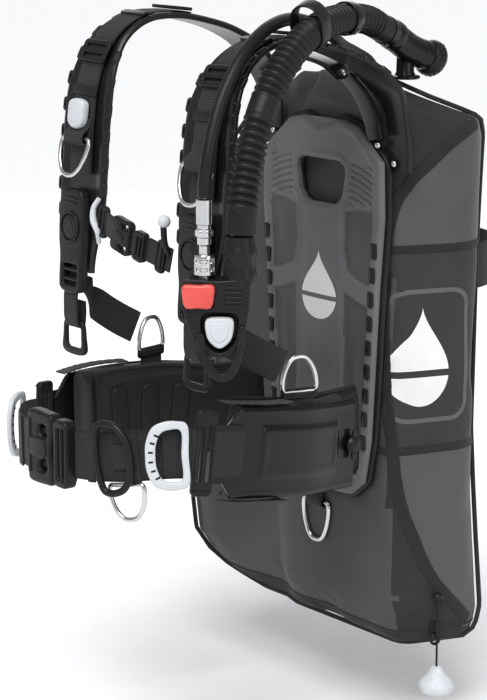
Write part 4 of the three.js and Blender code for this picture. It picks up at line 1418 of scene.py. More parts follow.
@dataclass
class Cloth:
    """One short cloth simulation whose result stays in the mesh."""

    pressure: float = 4.0
    cap: float = 8.0
    shrink: float = 0.0
    frames: int = 20

    def inflate(self, obj: bpy.types.Object, pinned: Optional[np.ndarray] = None) -> None:
        """Fills the piece with air and keeps its new shape.

        Args:
            obj: a closed mesh object.
            pinned: how firmly each vertex is held, from 0 to 1.
        """
        before = array([v.co for v in obj.data.vertices])
        cloth = obj.modifiers.new("cloth", "CLOTH")
        settings = cloth.settings
        settings.quality = 4
        settings.mass = 0.35
        settings.tension_stiffness = settings.compression_stiffness = 18
        settings.bending_stiffness = 0.6
        settings.use_pressure = True
        settings.uniform_pressure_force = self.pressure
        settings.shrink_min = self.shrink
        settings.effector_weights.gravity = 0
        if pinned is not None:
            group = obj.vertex_groups.new(name="pin")
            for index in np.nonzero(pinned > 0)[0]:
                group.add([int(index)], float(pinned[index]), "REPLACE")
            settings.vertex_group_mass = "pin"
        cloth.point_cache.frame_start = 1
        cloth.point_cache.frame_end = self.frames
        scene = bpy.context.scene
        for frame_number in range(1, self.frames + 1):
            scene.frame_set(frame_number)
        graph = bpy.context.evaluated_depsgraph_get()
        result = obj.evaluated_get(graph)
        after = array([v.co for v in result.data.vertices])
        obj.modifiers.remove(cloth)
        scene.frame_set(1)
        moved = after - before
        far = np.linalg.norm(moved, axis=1, keepdims=True)
        limit = self.cap * MM
        moved = moved / np.maximum(far, 1e-9) * limit * np.tanh(far / limit)
        obj.data.vertices.foreach_set("co", (before + moved).astype(np.float32).ravel())
        obj.data.update()


def beveled(mesh: bpy.types.Mesh, width: float) -> bpy.types.Mesh:
    """Rounds the sharp edges of a mesh.

    Args:
        mesh: changed in place.
        width: edge radius in millimetres.

    Returns:
        The mesh.
    """
    bm = bmesh.new()
    bm.from_mesh(mesh)
    sharp = [e for e in bm.edges if len(e.link_faces) == 2 and e.calc_face_angle(0.0) > math.radians(24)]
    bmesh.ops.bevel(bm, geom=sharp, offset=width * MM, segments=3, affect="EDGES", clamp_overlap=True)
    bm.to_mesh(mesh)
    bm.free()
    return tidy(mesh)


def thickened(mesh: bpy.types.Mesh, depth: float) -> bpy.types.Mesh:
    """A closed skin of some depth in millimetres under an open surface."""
    bm = bmesh.new()
    bm.from_mesh(mesh)
    bmesh.ops.recalc_face_normals(bm, faces=bm.faces)
    bmesh.ops.solidify(bm, geom=list(bm.faces), thickness=depth * MM)
    bm.to_mesh(mesh)
    bm.free()
    return tidy(mesh)


def drop_mark(width: float, height: float) -> bpy.types.Mesh:
    """A flat water drop with one level gap, as a fine open surface in X and Z about the origin.

    Args:
        width: its width in millimetres.
        height: its height in millimetres.

    Returns:
        The mesh.
    """
    rows = 46
    lanes = 24
    points, faces = [], []
    waist = 0.34
    for low, high in ((0.0, 0.30), (0.37, 1.0)):
        start = len(points)
        for i in range(rows + 1):
            rise = low + (high - low) * i / rows
            if rise < waist:
                girth = math.sqrt(max(0.0, 1 - ((rise - waist) / waist) ** 2))
            else:
                girth = (0.5 + 0.5 * math.cos(math.pi * (rise - waist) / (1 - waist))) ** 0.8
            for j in range(lanes + 1):
                u = -1 + 2 * j / lanes
                points.append((u * girth * width / 2 * MM, 0.0, (rise - 0.5) * height * MM))
        faces += grid_faces(rows + 1, lanes + 1, start=start)
    return from_faces(array(points), faces)


# ------------------------------------------------------------------ back plate


def signed_distance(points: np.ndarray, outline: np.ndarray) -> np.ndarray:
    """Distance inside an outline, negative outside.

    Args:
        points: (n, 2) places.
        outline: (m, 2) corners.

    Returns:
        One distance each.
    """
    best = np.full(len(points), 1e9)
    inside = np.zeros(len(points), bool)
    for a, b in zip(outline, np.roll(outline, -1, 0)):
        run = b - a
        t = np.clip(((points - a) @ run) / max(run @ run, 1e-9), 0, 1)
        best = np.minimum(best, np.linalg.norm(points - a - t[:, None] * run, axis=1))
        crosses = (a[1] > points[:, 1]) != (b[1] > points[:, 1])
        slope = (b[0] - a[0]) / (b[1] - a[1]) if b[1] != a[1] else 0.0
        inside ^= crosses & (points[:, 0] < a[0] + slope * (points[:, 1] - a[1]))
    return np.where(inside, best, -best)


def both_sides(half: Sequence[Point]) -> np.ndarray:
    """A symmetric outline from the points of its left half, top first."""
    return array([*half, *[(-x, z) for x, z in reversed(half) if x > 0]])


CAM_START = 100  # degrees round the cylinder, where the cam buckle begins
CAM_PIN_R = 101.7  # millimetres from the cylinder's axis to the lever's pin


@dataclass
class BackPlate:
    """The moulded back pad on its rigid plate, the yoke, the cradle, and the band with its cam buckle."""

    face: float = -45.0
    rows: int = 230
    columns: int = 116
    upper = array([(40, 102), (60, 106), (84, 108), (85, 92), (80, 26), (62, 30), (44, 38), (37, 62)])
    lower = array([(40, 16), (62, 8), (79, 4), (74, -60), (69, -150), (64, -166), (50, -168), (41, -158), (38, -60)])
    hand = both_sides([(0, 154), (30, 154), (38, 149), (40, 142), (35, 118), (29, 110), (20, 107), (0, 107)])

    @staticmethod
    def outline(grow: float = 0.0) -> np.ndarray:
        """The plate's outline, grown by so many millimetres."""
        return both_sides([(0, 188 + grow), (30, 198 + grow), (54, 193 + grow), (96 + grow, 158), (98 + grow, 100),
                           (91 + grow, 20), (85 + grow, -80), (81 + grow, -140), (72 + grow, -188),
                           (52, -204 - grow), (0, -207 - grow)])

    def build(self) -> None:
        """Builds every piece of the back."""
        self.pad()
        self.plate()
        self.yoke()
        self.cradle()
        self.cylinder_band()
        self.rivets()
        self.crotch()

    def relief(self, x: np.ndarray, z: np.ndarray) -> np.ndarray:
        """Height of the pad's face above its base plane, in millimetres."""
        p = np.stack([np.abs(x), z], 1)
        edge = signed_distance(np.stack([x, z], 1), self.outline())
        height = -2.8 * (1 - np.sqrt(np.clip(edge / 4.0, 0, 1) * (2 - np.clip(edge / 4.0, 0, 1))))
        height = height + 1.0 * np.exp(-((edge - 6.0) / 3.4) ** 2)
        for panel in (self.upper, self.lower):
            inner = signed_distance(p, panel)
            height = height - 2.6 * smoothstep(inner, -2.5, 3.5) + 1.1 * smoothstep(inner, 7, 20)
            height = height + 0.9 * np.exp(-((inner + 2.5) / 2.6) ** 2)
        spine = smoothstep(34 - np.abs(x), 0, 16) * smoothstep(z, -196, -150) * (1 - smoothstep(z, 92, 106))
        height = height + 1.2 * spine * (1 - (x / 46) ** 2)
        hand = signed_distance(np.stack([x, z], 1), self.hand)
        height = height + 1.5 * np.exp(-((hand + 5.0) / 3.2) ** 2) - 3.6 * smoothstep(hand, -3.0, 4.0)
        bank = (np.abs(x) > 43) & (np.abs(x) < 86) & (z < 158) & (z > 108)
        sweep = z + 0.16 * (np.abs(x) - 43) + 0.004 * (np.abs(x) - 43) ** 2
        groove = (0.5 + 0.5 * np.cos((sweep - 112) * 2 * math.pi / 7.2)) ** 2
        fade = smoothstep(np.abs(x), 43, 48) * (1 - smoothstep(np.abs(x), 80, 86)) * smoothstep(z, 108, 113)
        height = height - 2.4 * groove * fade * (1 - smoothstep(z, 151, 158)) * bank
        return height

    def pad(self) -> None:
        """The sculpted pad, cut through at the hand opening."""
        outline = self.outline()
        z = np.linspace(197.4, -206.6, self.rows)
        half = np.array([self.half_width(outline, level) for level in z])
        u = np.linspace(-1, 1, self.columns)
        x = (half[:, None] * u[None, :])
        zz = np.broadcast_to(z[:, None], x.shape)
        height = self.relief(x.ravel(), zz.ravel()).reshape(x.shape)
        front = np.stack([x, self.face + 0.4 - height, zz], -1).reshape(-1, 3)
        front[:, 1] = np.minimum(front[:, 1], -38.6)
        back = np.stack([x, np.full_like(x, -38.0), zz], -1).reshape(-1, 3)
        faces = shell_faces(self.rows, self.columns)
        mesh = from_faces(np.vstack([front, back]) * MM, faces)
        obj = Piece.add("moulded_pad", mesh, "pad", replaces=["back_pad"])
        self.pierce(obj, self.hand, -42)
        self.panelled(obj.data)
        mark = drop_mark(56, 74)
        for vertex in mark.vertices:
            px, pz = vertex.co.x / MM, vertex.co.z / MM + 18
            lift = float(self.relief(array([px]), array([pz]))[0])
            vertex.co = Vector((px, self.face + 0.15 - lift, pz)) * MM
        Piece.add("pad_mark", thickened(mark, 0.3), "mark")
        self.lugs(outline)

    def panelled(self, mesh: bpy.types.Mesh) -> None:
        """Gives the sunken panels of the pad's face a darker skin, which paints the shade in these recesses."""
        mesh.materials.append(Finishes.get("pad_panel_painted_shade"))
        last = len(mesh.materials) - 1
        places = array([(abs(f.center.x), f.center.z) for f in mesh.polygons]) / MM
        # Faces inside the sunken panels take the darker skin, as painted shade.
        sunk = np.maximum(signed_distance(places, self.upper), signed_distance(places, self.lower)) > 1.0
        for face, inside in zip(mesh.polygons, sunk):
            if inside:
                face.material_index = last

    @staticmethod
    def half_width(outline: np.ndarray, level: float) -> float:
        """Half the outline's width at a height."""
        best = 4.0
        for a, b in zip(outline, np.roll(outline, -1, 0)):
            if (a[1] - level) * (b[1] - level) <= 0 and a[1] != b[1]:
                best = max(best, a[0] + (b[0] - a[0]) * (level - a[1]) / (b[1] - a[1]))
        return best

    @staticmethod
    def pierce(obj: bpy.types.Object, outline: np.ndarray, y: float) -> None:
        """Cuts an opening through a piece.

        Args:
            obj: the piece.
            outline: the opening in X and Z, in millimetres.
            y: the middle of the cut.
        """
        cutter = bpy.data.objects.new("cutter", plate([outline], 40, shift(0, y, 0), 0.2, 1))
        bpy.context.scene.collection.objects.link(cutter)
        cut = obj.modifiers.new("cut", "BOOLEAN")
        cut.operation = "DIFFERENCE"
        cut.object = cutter
        cut.solver = "EXACT"
        graph = bpy.context.evaluated_depsgraph_get()
        mesh = bpy.data.meshes.new_from_object(obj.evaluated_get(graph))
        obj.modifiers.remove(cut)
        obj.data = tidy(mesh)
        bpy.data.objects.remove(cutter)

    def lugs(self, outline: np.ndarray) -> None:
        """The row of rounded lugs down each edge of the pad, each with a thin dark plate in place of its slot, as
        painted shade.
        """
        lugs, slots = [], []
        for side in (1, -1):
            for k in range(9):
                z = 66 - 26 * k
                x = side * (self.half_width(outline, z) - 6.5)
                lugs.append(plate([rounded(9, 17, 3, x, z)], 3.4, shift(0, self.face - 0.4, 0), 1.2, 2))
                # A thin gloss black plate stands for each slot's opening: painted shade, not a cut.
                slots.append(plate([rounded(3.6, 10, 1.6, x, z)], 0.8, shift(0, self.face - 2.0, 0), 0.2, 1))
        Piece.add("pad_lugs", merged(lugs), "moulded")
        Piece.add("pad_lug_slot_shade", merged(slots), "gloss")

    def plate(self) -> None:
        """The rigid plate behind the pad, with a rounded rim and the same opening."""
        rim = smooth_loop(self.dense(self.outline(5.0)), 160)
        mesh = plate([rim, self.hand], 5.8, shift(0, -34.6, 0), 2.2, 3)
        Piece.add("rigid_plate", mesh, "moulded", replaces=["backplate"])

    @staticmethod
    def dense(outline: np.ndarray) -> list[Point]:
        """An outline with points between its corners, so that a smooth curve keeps to it."""
        out = []
        for a, b in zip(outline, np.roll(outline, -1, 0)):
            out += [tuple(a + (b - a) * share) for share in (0.12, 0.5, 0.88)]
        return out

    def yoke(self) -> None:
        """The arched yoke between the strap roots, with its gusset into the plate's top."""
        arch = Path([[-63, -62, 246], [-40, -64, 258], [0, -66, 263], [40, -64, 258], [63, -62, 246]])
        band = Band(arch, array([0.0, 1.0, 0.0]), 30, 4.4, crown=0.8, steps=50)
        Piece.add("yoke", band.mesh(), "gloss", replaces=["neck_yoke"])
        gussets = []
        for side in (1, -1):
            leg = Path([(side * 60, -61, 246), (side * 72, -50, 226), (side * 80, -42, 200), (side * 84, -40, 182)])
            gussets.append(Band(leg, ACROSS, 26, 3.2, crown=1.0, steps=24).mesh())
        Piece.add("yoke_legs", merged(gussets), "gloss")

    def cradle(self) -> None:
        """The ribbed cradle strip that the cylinder rests on."""
        x = np.concatenate([np.linspace(46, 14, 12), np.linspace(-14, -46, 12)])
        rest = np.where(np.abs(x) <= 14.01, 0.0, 86 - np.sqrt(86 ** 2 - x ** 2) - 0.3)
        section = np.vstack([[(-46, 2), (-36, -4.3), (36, -4.3), (46, 2)], np.stack([x, rest], 1)])
        rings = []
        for z in np.linspace(-90, 122, 54):
            dip = 0.7 * (0.5 + 0.5 * math.cos((z + 90) * 2 * math.pi / 16)) ** 4
            level = section.copy()
            cut = np.concatenate([np.zeros(4), np.where(np.abs(x) > 16, dip, 0)])
            level[:, 1] -= cut
            rings.append(np.column_stack([level, np.full(len(level), z)]))
        Piece.add("cylinder_cradle", lofted(array(rings) * MM), "moulded", replaces=["tank_cradle"])

    def cylinder_band(self) -> None:
        """The band round the cylinder's place, with the cam buckle and its lever."""
        points = [[-50, -3.2, 0], [-40, -6, 0], [-20, -6.6, 0], [0, -6.6, 0], [20, -6.6, 0], [40, -6, 0],
                  [50, -3.2, 0], [61, 7, 0]]
        for angle in range(55, 306, 25):
            a = math.radians(angle)
            points.append([89.4 * math.sin(a), 87 - 89.4 * math.cos(a), 0])
        points.append([-61, 7, 0])
        loop = Path([(x, y, 35) for x, y, _ in points], closed=True)
        band = Band(loop, UP, 49.6, 2.3, steps=150)
        Piece.add("cylinder_strap", band.mesh(), "webbing", replaces=["tank_band"])
        centre = shift(0, 87, 35)
        body = self.arc(91.3, 96.1, CAM_START, CAM_START + 32, 28.3)
        ears = [self.arc(95.2, 105, CAM_START, CAM_START + 7, 2.5, side * 26) for side in (-1, 1)]
        angle = math.radians(CAM_START + 3)
        pin = array([(CAM_PIN_R * math.cos(angle), CAM_PIN_R * math.sin(angle), z) for z in (-27, 27)])
        rod = tube(np.linspace(pin[0], pin[1], 6) * MM, 2.4 * MM, 16)
        mesh = merged([body, *ears, rod])
        mesh.transform(centre)
        Piece.add("cam_base", mesh, "moulded", replaces=["cam_buckle"])
        lever = self.arc(97.7, 104.4, CAM_START + 1, CAM_START + 34, 22.3)
        ribs = [self.arc(104, 105.2, a, a + 1.6, 18) for a in range(CAM_START + 16, CAM_START + 33, 4)]
        mesh = merged([lever, *ribs])
        mesh.transform(centre)
        Piece.add("cam_handle", mesh, "moulded", "cam_lever", ["cam_lever"])

    @staticmethod
    def arc(inner: float, outer: float, start: float, end: float, half: float, z: float = 0.0) -> bpy.types.Mesh:
        """A rounded plate bent about Z.

        Args:
            inner: inner radius in millimetres.
            outer: outer radius.
            start: first angle in degrees.
            end: last angle.
            half: half its height.
            z: its middle height.

        Returns:
            The mesh.
        """
        section = rounded(outer - inner, 2 * half, min(1.2, (outer - inner) * 0.4), (inner + outer) / 2, z, 3)
        rings = []
        count = max(3, int(abs(end - start) / 1.5))
        for k in range(count + 1):
            angle = math.radians(start + (end - start) * k / count)
            rings.append([(r * math.cos(angle), r * math.sin(angle), h) for r, h in section])
        return lofted(array(rings) * MM)

    def rivets(self) -> None:
        """The domed steel rivets at the strap roots and on the plate's edge."""
        heads = []
        for x, y, z in ((86, -39.5, 176), (104, -33.2, 158), (-86, -39.5, 176), (-104, -33.2, 158), (62, -66.6, 250),
                        (-62, -66.6, 250)):
            place = shift(x, y, z) @ Matrix.Rotation(math.pi / 2, 4, "X")
            heads.append(turned([[3.6, 0], [3.4, 1.0], [2.4, 1.9], [1.0, 2.3]], place, 20))
        Piece.add("rivets", merged(heads), "steel")

    def crotch(self) -> None:
        """The steel ring below the pad and the webbing tab that holds it."""
        ring = d_ring(40, 44, 2.6)
        ring.transform(shift(-10, -38, -226))
        Piece.add("lower_ring", ring, "steel", "crotch_ring", ["crotch_ring"])
        tab = Path([(-10, -33.6, -196), (-10, -35.2, -212), (-10, -41.6, -221), (-10, -41.8, -228),
                    (-10, -37.5, -230.5), (-10, -33.8, -226), (-10, -33, -212)])
        Piece.add("lower_ring_tab", Band(tab, ACROSS, 27, 1.8, steps=40).mesh(), "chest_webbing")


def d_ring(width: float, drop: float, radius: float = 2.4) -> bpy.types.Mesh:
    """A steel D ring that hangs from a straight bar, in X and Z below the origin."""
    outline = [(-width / 2, 0), (-width / 4, 1), (width / 4, 1), (width / 2, 0), (width * 0.46, -drop * 0.55),
               (width * 0.2, -drop * 0.95), (-width * 0.2, -drop * 0.95), (-width * 0.46, -drop * 0.55)]
    path = Path([(x, 0, z) for x, z in outline], closed=True)
    return tube(path.at(np.arange(72) / 72), radius * MM, 14, closed=True)


# ------------------------------------------------------------------ shoulder straps


@dataclass
class ShoulderStrap:
    """One moulded strap with its webbing, rings and buckle."""

    side: Side
    lift: float = 15.0
    narrow: float = 54.0
    wide: float = 80.0
    thick: float = 7.0

    def __post_init__(self) -> None:
        """Makes the strap's path."""
        raised = self.lift if self.side is Side.RIGHT else 0.0
        points = [[108, -27.6, 150], [107, -27.6, 182], [103, -35, 222], [100, -62, 253], [100, -97, 271],
                  [100, -135, 283], [100, -175, 290], [101, -212, 287], [102, -243, 268], [103, -262, 238],
                  [104, -270, 200], [104, -274, 155], [104, -278, 105], [104, -281, 45]]
        sign = self.side.value
        self.path = Path([(sign * x, y, z + raised * max(0.0, min(1.0, (z - 180) / 90))) for x, y, z in points])
        self.word = self.side.word

    def width(self, t: np.ndarray) -> np.ndarray:
        """The strap's width in millimetres along it."""
        return (32 + (self.narrow - 32) * smoothstep(t, 0.1, 0.18) + (self.wide - self.narrow)
                * smoothstep(t, 0.5, 0.7) - 34 * smoothstep(t, 0.86, 1))

    def spot(self, t: float, out: float) -> Matrix:
        """A frame on the strap's face at t, out millimetres off its middle."""
        return self.path.spot(t, ACROSS, out)

    def build(self) -> None:
        """Builds every piece of the strap."""
        self.body()
        self.webbing()
        self.chest_ring()
        self.buckle()
        self.pull()
        self.lower()

    def body(self) -> None:
        """The moulded strap: raised rims, a sunk middle and pressed dimples."""
        def relief(t: np.ndarray, v: np.ndarray) -> np.ndarray:
            rim = 1.3 * np.exp(-((np.abs(v) - 0.86) / 0.09) ** 2)
            sunk = -1.4 * smoothstep(0.72 - np.abs(v), 0, 0.12)
            window = (smoothstep(np.abs(v), 0.1, 0.16) * (1 - smoothstep(np.abs(v), 0.5, 0.58)))
            beat = smoothstep(np.sin(t * 2 * math.pi * 9.0), 0.05, 0.3) * (1 - smoothstep(t, 0.62, 0.66))
            return rim + sunk - 0.9 * window * beat * smoothstep(t, 0.14, 0.18)

        band = Band(self.path, ACROSS, self.width, self.thick - 1.2, steps=170, lanes=34, edge=0.35)
        Piece.add(f"strap_{self.word}", band.mesh(relief), "satin", replaces=[f"shoulder_strap_{self.word}"])
        lugs = []
        for t in np.arange(0.22, 0.93, 0.048):
            for edge in (-1, 1):
                if edge == 1 and t < 0.6:
                    continue
                half = float(self.width(array([t]))[0]) / 2
                place = self.spot(float(t), 1.4) @ shift(-self.side.value * edge * (half - 2.6), 0, 0)
                c_shape = [rounded(9.4, 15, 3.6), rounded(4.4, 8.4, 1.8)]
                lugs.append(plate(c_shape, 4.6, place, 1.1, 2))
        Piece.add(f"strap_lugs_{self.word}", merged(lugs), "satin")

    def webbing(self) -> None:
        """The webbing down the strap's face with its sliding keepers."""
        face = self.thick / 2 + 0.4
        band = Band(self.path, ACROSS, 38, 2.0, out=face + 0.9, start=0.4, end=0.82, steps=90)
        Piece.add(f"strap_web_{self.word}", band.mesh(), "narrow_webbing", replaces=[f"strap_webbing_{self.word}"])
        keepers = []
        for t in (0.42, 0.60):
            keepers.append(plate([rounded(46, 24, 5), rounded(34, 4.6, 1.5, 0, 5), rounded(34, 4.6, 1.5, 0, -5)],
                                 3.6, self.spot(t, face + 4.2), 1.2, 2))
        for t in (0.50, 0.67):
            keepers.append(plate([rounded(42, 9, 3)], 3.0, self.spot(t, face + 2.6), 1.0, 2))
        Piece.add(f"strap_keepers_{self.word}", merged(keepers), "moulded")

    def chest_ring(self) -> None:
        """The D ring and the webbing tab that wraps its bar."""
        web_top = self.thick / 2 + 0.9 + 2.2
        place = self.spot(0.758, web_top + 6)
        ring = d_ring(46, 38)
        ring.transform(place @ Matrix.Rotation(math.radians(-12), 4, "X"))
        Piece.add(f"chest_d_ring_{self.word}", ring, "steel", f"chest_ring_{self.word}", [f"chest_ring_{self.word}"])
        loop = [(0, 6.2, 22), (0, 4.6, 14), (0, -2.6, 6.6), (0, -4.2, 0.5), (0, -1.0, -4.4), (0, 3.6, -2.6),
                (0, 5.4, 5), (0, 6.6, 18)]
        path = Path([place @ (Vector(p) * MM) / MM for p in loop])
        tab = Band(path, array(place.col[0][:3]), 33, 1.7, steps=44)
        Piece.add(f"chest_tab_{self.word}", tab.mesh(), "narrow_webbing")

    def buckle(self) -> None:
        """The long moulded buckle with its round plain emblem and webbing window."""
        place = self.spot(0.944, self.thick / 2 + 0.3 + 6)
        shell = smooth_loop([(-15, 53), (0, 54), (15, 53), (20, 44), (22, 20), (21.6, 0), (19.4, -16), (20, -40),
                             (18.6, -50), (12, -53.6), (-12, -53.6), (-18.6, -50), (-20, -40), (-19.4, -16),
                             (-21.6, 0), (-22, 20), (-20, 44)], 110)
        window = rounded(25, 22, 3, 0, -35)
        parts = [plate([shell, window], 11, place @ shift(0, 0.3, 0), 2.6, 4)]
        emblem = [circle(48, radius) + [0, 15] for radius in (16.4, 14.2)]
        parts.append(plate(emblem, 2.4, place @ shift(0, -6.0, 0), 0.8, 2))
        parts.append(plate([circle(40, 12.6) + [0, 15]], 1.6, place @ shift(0, -5.6, 0), 0.6, 2))
        for z in (-30, -40):
            parts.append(tube(array([tuple(place @ (Vector((x, -2, z)) * MM)) for x in np.linspace(-14, 14, 6)]),
                              2.0 * MM, 12))
        for z in (40, 45):
            parts.append(plate([rounded(22, 2.2, 1.0, 0, z)], 1.6, place @ shift(0, -5.6, 0), 0.6, 1))
        name = f"strap_buckle_{self.word}"
        Piece.add(f"ladder_lock_{self.word}", merged(parts), "moulded", replaces=[name])
        drop = drop_mark(13, 18)
        drop.transform(place @ shift(0, -6.7, 15))
        Piece.add(f"buckle_emblem_{self.word}", thickened(drop, 0.5), "gloss")

    def pull(self) -> None:
        """The pull ring and the webbing from the buckle that loops through it."""
        sign = self.side.value
        place = shift(sign * 106, -288.5, -8)
        outer = smooth_loop([(-13, 1.6), (13, 1.6), (17.4, -2), (19.6, -16), (21, -30), (16, -34.4), (-16, -34.4),
                             (-21, -30), (-19.6, -16), (-17.4, -2)], 80)
        ring = plate([outer, rounded(27, 24, 5, 0, -16)], 5, place, 1.8, 3)
        Piece.add(f"pull_loop_{self.word}", ring, "moulded", f"pull_ring_{self.word}", [f"pull_ring_{self.word}"])
        x = sign * 105
        web = Path([(x, -284, 52), (x, -287, 38), (x, -293, 24), (x, -294, 8), (x, -293.4, -6), (x, -290, -13.4),
                    (x, -285.4, -11), (x, -283.6, -2), (x, -283.4, 14)])
        Piece.add(f"pull_webbing_{self.word}", Band(web, ACROSS, 25, 1.8, steps=60).mesh(), "chest_webbing")

    def lower(self) -> None:
        """The webbing from the strap's end to the ring beside the hip pad."""
        sign = self.side.value
        points = [[107, -277, 40], [109, -272, 18], [116, -248, 0], [122, -222, -16], [125, -198, -29]]
        path = Path([(sign * x, y, z) for x, y, z in points])
        band = Band(path, self.turning, 34, 2.2, steps=60)
        Piece.add(f"hip_web_{self.word}", band.mesh(), "narrow_webbing", replaces=[f"lower_webbing_{self.word}"])
        ring = d_ring(36, 34)
        ring.transform(shift(sign * 127, -176, -55, sign * 78) @ Matrix.Rotation(math.pi, 4, "Y"))
        Piece.add(f"hip_d_ring_{self.word}", ring, "steel", f"hip_ring_{self.word}", [f"hip_ring_{self.word}"])
        box = plate([rounded(40, 11, 3), rounded(31, 3.4, 1)], 4.6,
                    shift(sign * 127, -176, -59, sign * 78), 1.3, 2)
        Piece.add(f"hip_ring_seat_{self.word}", box, "moulded")
        tab = plate([rounded(32, 30, 3)], 2.4, shift(sign * 127, -176, -72, sign * 78), 0.8, 2)
        Piece.add(f"hip_ring_tab_{self.word}", tab, "narrow_webbing")

    def turning(self, t: np.ndarray) -> np.ndarray:
        """The way the lower webbing's width runs: across at the strap, then upright."""
        share = smoothstep(t, 0.0, 0.45)[:, None]
        return unit(ACROSS * self.side.value * (1 - share) + UP * share)


@dataclass
class ChestStrap:
    """The sternum strap with its small side-release buckle and the ball on its near end."""

    line: Path = field(default_factory=lambda: Path([[-62, -285, 106], [-35, -291, 101], [0, -294, 93],
                                                     [35, -292, 86], [64, -287.5, 79]]))

    def spot(self, t: float) -> Matrix:
        """A frame on the strap at t."""
        at = self.line.at(t)[0] / MM
        return shift(*at) @ Matrix.Rotation(math.radians(13), 4, "Y")

    def build(self) -> None:
        """Builds every piece of the strap."""
        for name, start, end in (("right", 0.0, 0.29), ("left", 0.75, 1.0)):
            band = Band(self.line, UP, 25, 2.0, start=start, end=end, steps=30)
            Piece.add(f"chest_web_{name}", band.mesh(), "chest_webbing", replaces=[f"sternum_webbing_{name}"])
        place = self.spot(0.42)
        shell = smooth_loop([(-15, 16), (0, 18), (12, 17.4), (15, 14), (14.4, 0), (15, -14), (12, -17.4), (0, -18),
                             (-15, -16), (-15.4, 0)], 70)
        notch = [rounded(13, 5, 2, 5, 11.5), rounded(13, 5, 2, 5, -11.5)]
        socket = [plate([shell, *notch], 8.8, place, 2.2, 3)]
        socket.append(plate([rounded(14, 9, 3, -1, 0)], 1.4, place @ shift(0, -4.6, 0), 0.5, 2))
        Piece.add("chest_socket", merged(socket), "moulded", replaces=["sternum_socket"])
        place = self.spot(0.56)
        block = [rounded(17.6, 31, 4.5, 12.8, 0), rounded(3.6, 21, 1.4, 12, 0), rounded(3.6, 21, 1.4, 17.4, 0)]
        tongue = [plate(block, 8.6, place, 1.8, 3)]
        tongue += [plate([rounded(18, 4, 1.6, -3, z)], 3.4, place, 1.0, 2) for z in (-8, 8)]
        Piece.add("chest_tongue", merged(tongue), "moulded", replaces=["sternum_tongue"])
        sliders = []
        for t in (0.10, 0.90):
            sliders.append(plate([rounded(13, 34, 4), rounded(3, 26, 1.2, -3.4, 0), rounded(3, 26, 1.2, 3.4, 0)], 5,
                                 self.spot(t) @ shift(0, -1.0, 0), 1.4, 2))
        Piece.add("chest_sliders", merged(sliders), "moulded")
        arm = Path([(-62, -286, 126), (-66, -290, 116), (-64, -292, 104), (-58, -291, 92), (-60, -288, 80)])
        t = np.linspace(0, 1, 40)
        hook = tube(arm.at(t), (3.6 - 1.2 * np.abs(2 * t - 1)) * MM, 14)
        ball = turned([[0.5, -6.4], [4, -5.2], [6.2, -2], [6.4, 1], [5, 4.6], [2, 6.4]], shift(60, -293, 118), 24)
        Piece.add("chest_hook", merged([hook, ball]), "light")
        post = Path([(62, -288, 84), (61, -293, 96), (60, -294, 114)])
        Piece.add("chest_post", tube(post.at(np.linspace(0, 1, 20)), 3.2 * MM, 14), "moulded")


# ------------------------------------------------------------------ waist


BELT_Z = -109.0
BELT = [[117, -44, -123], [121, -80, -124], [130, -125, -122], [143, -175, -116], [150, -225, -108],
        [151, -268, -102], [147, -304, -98], [134, -338, -95], [112, -362, -98], [80, -377, -103], [40, -387, -107],
        [0, -390, BELT_Z]]


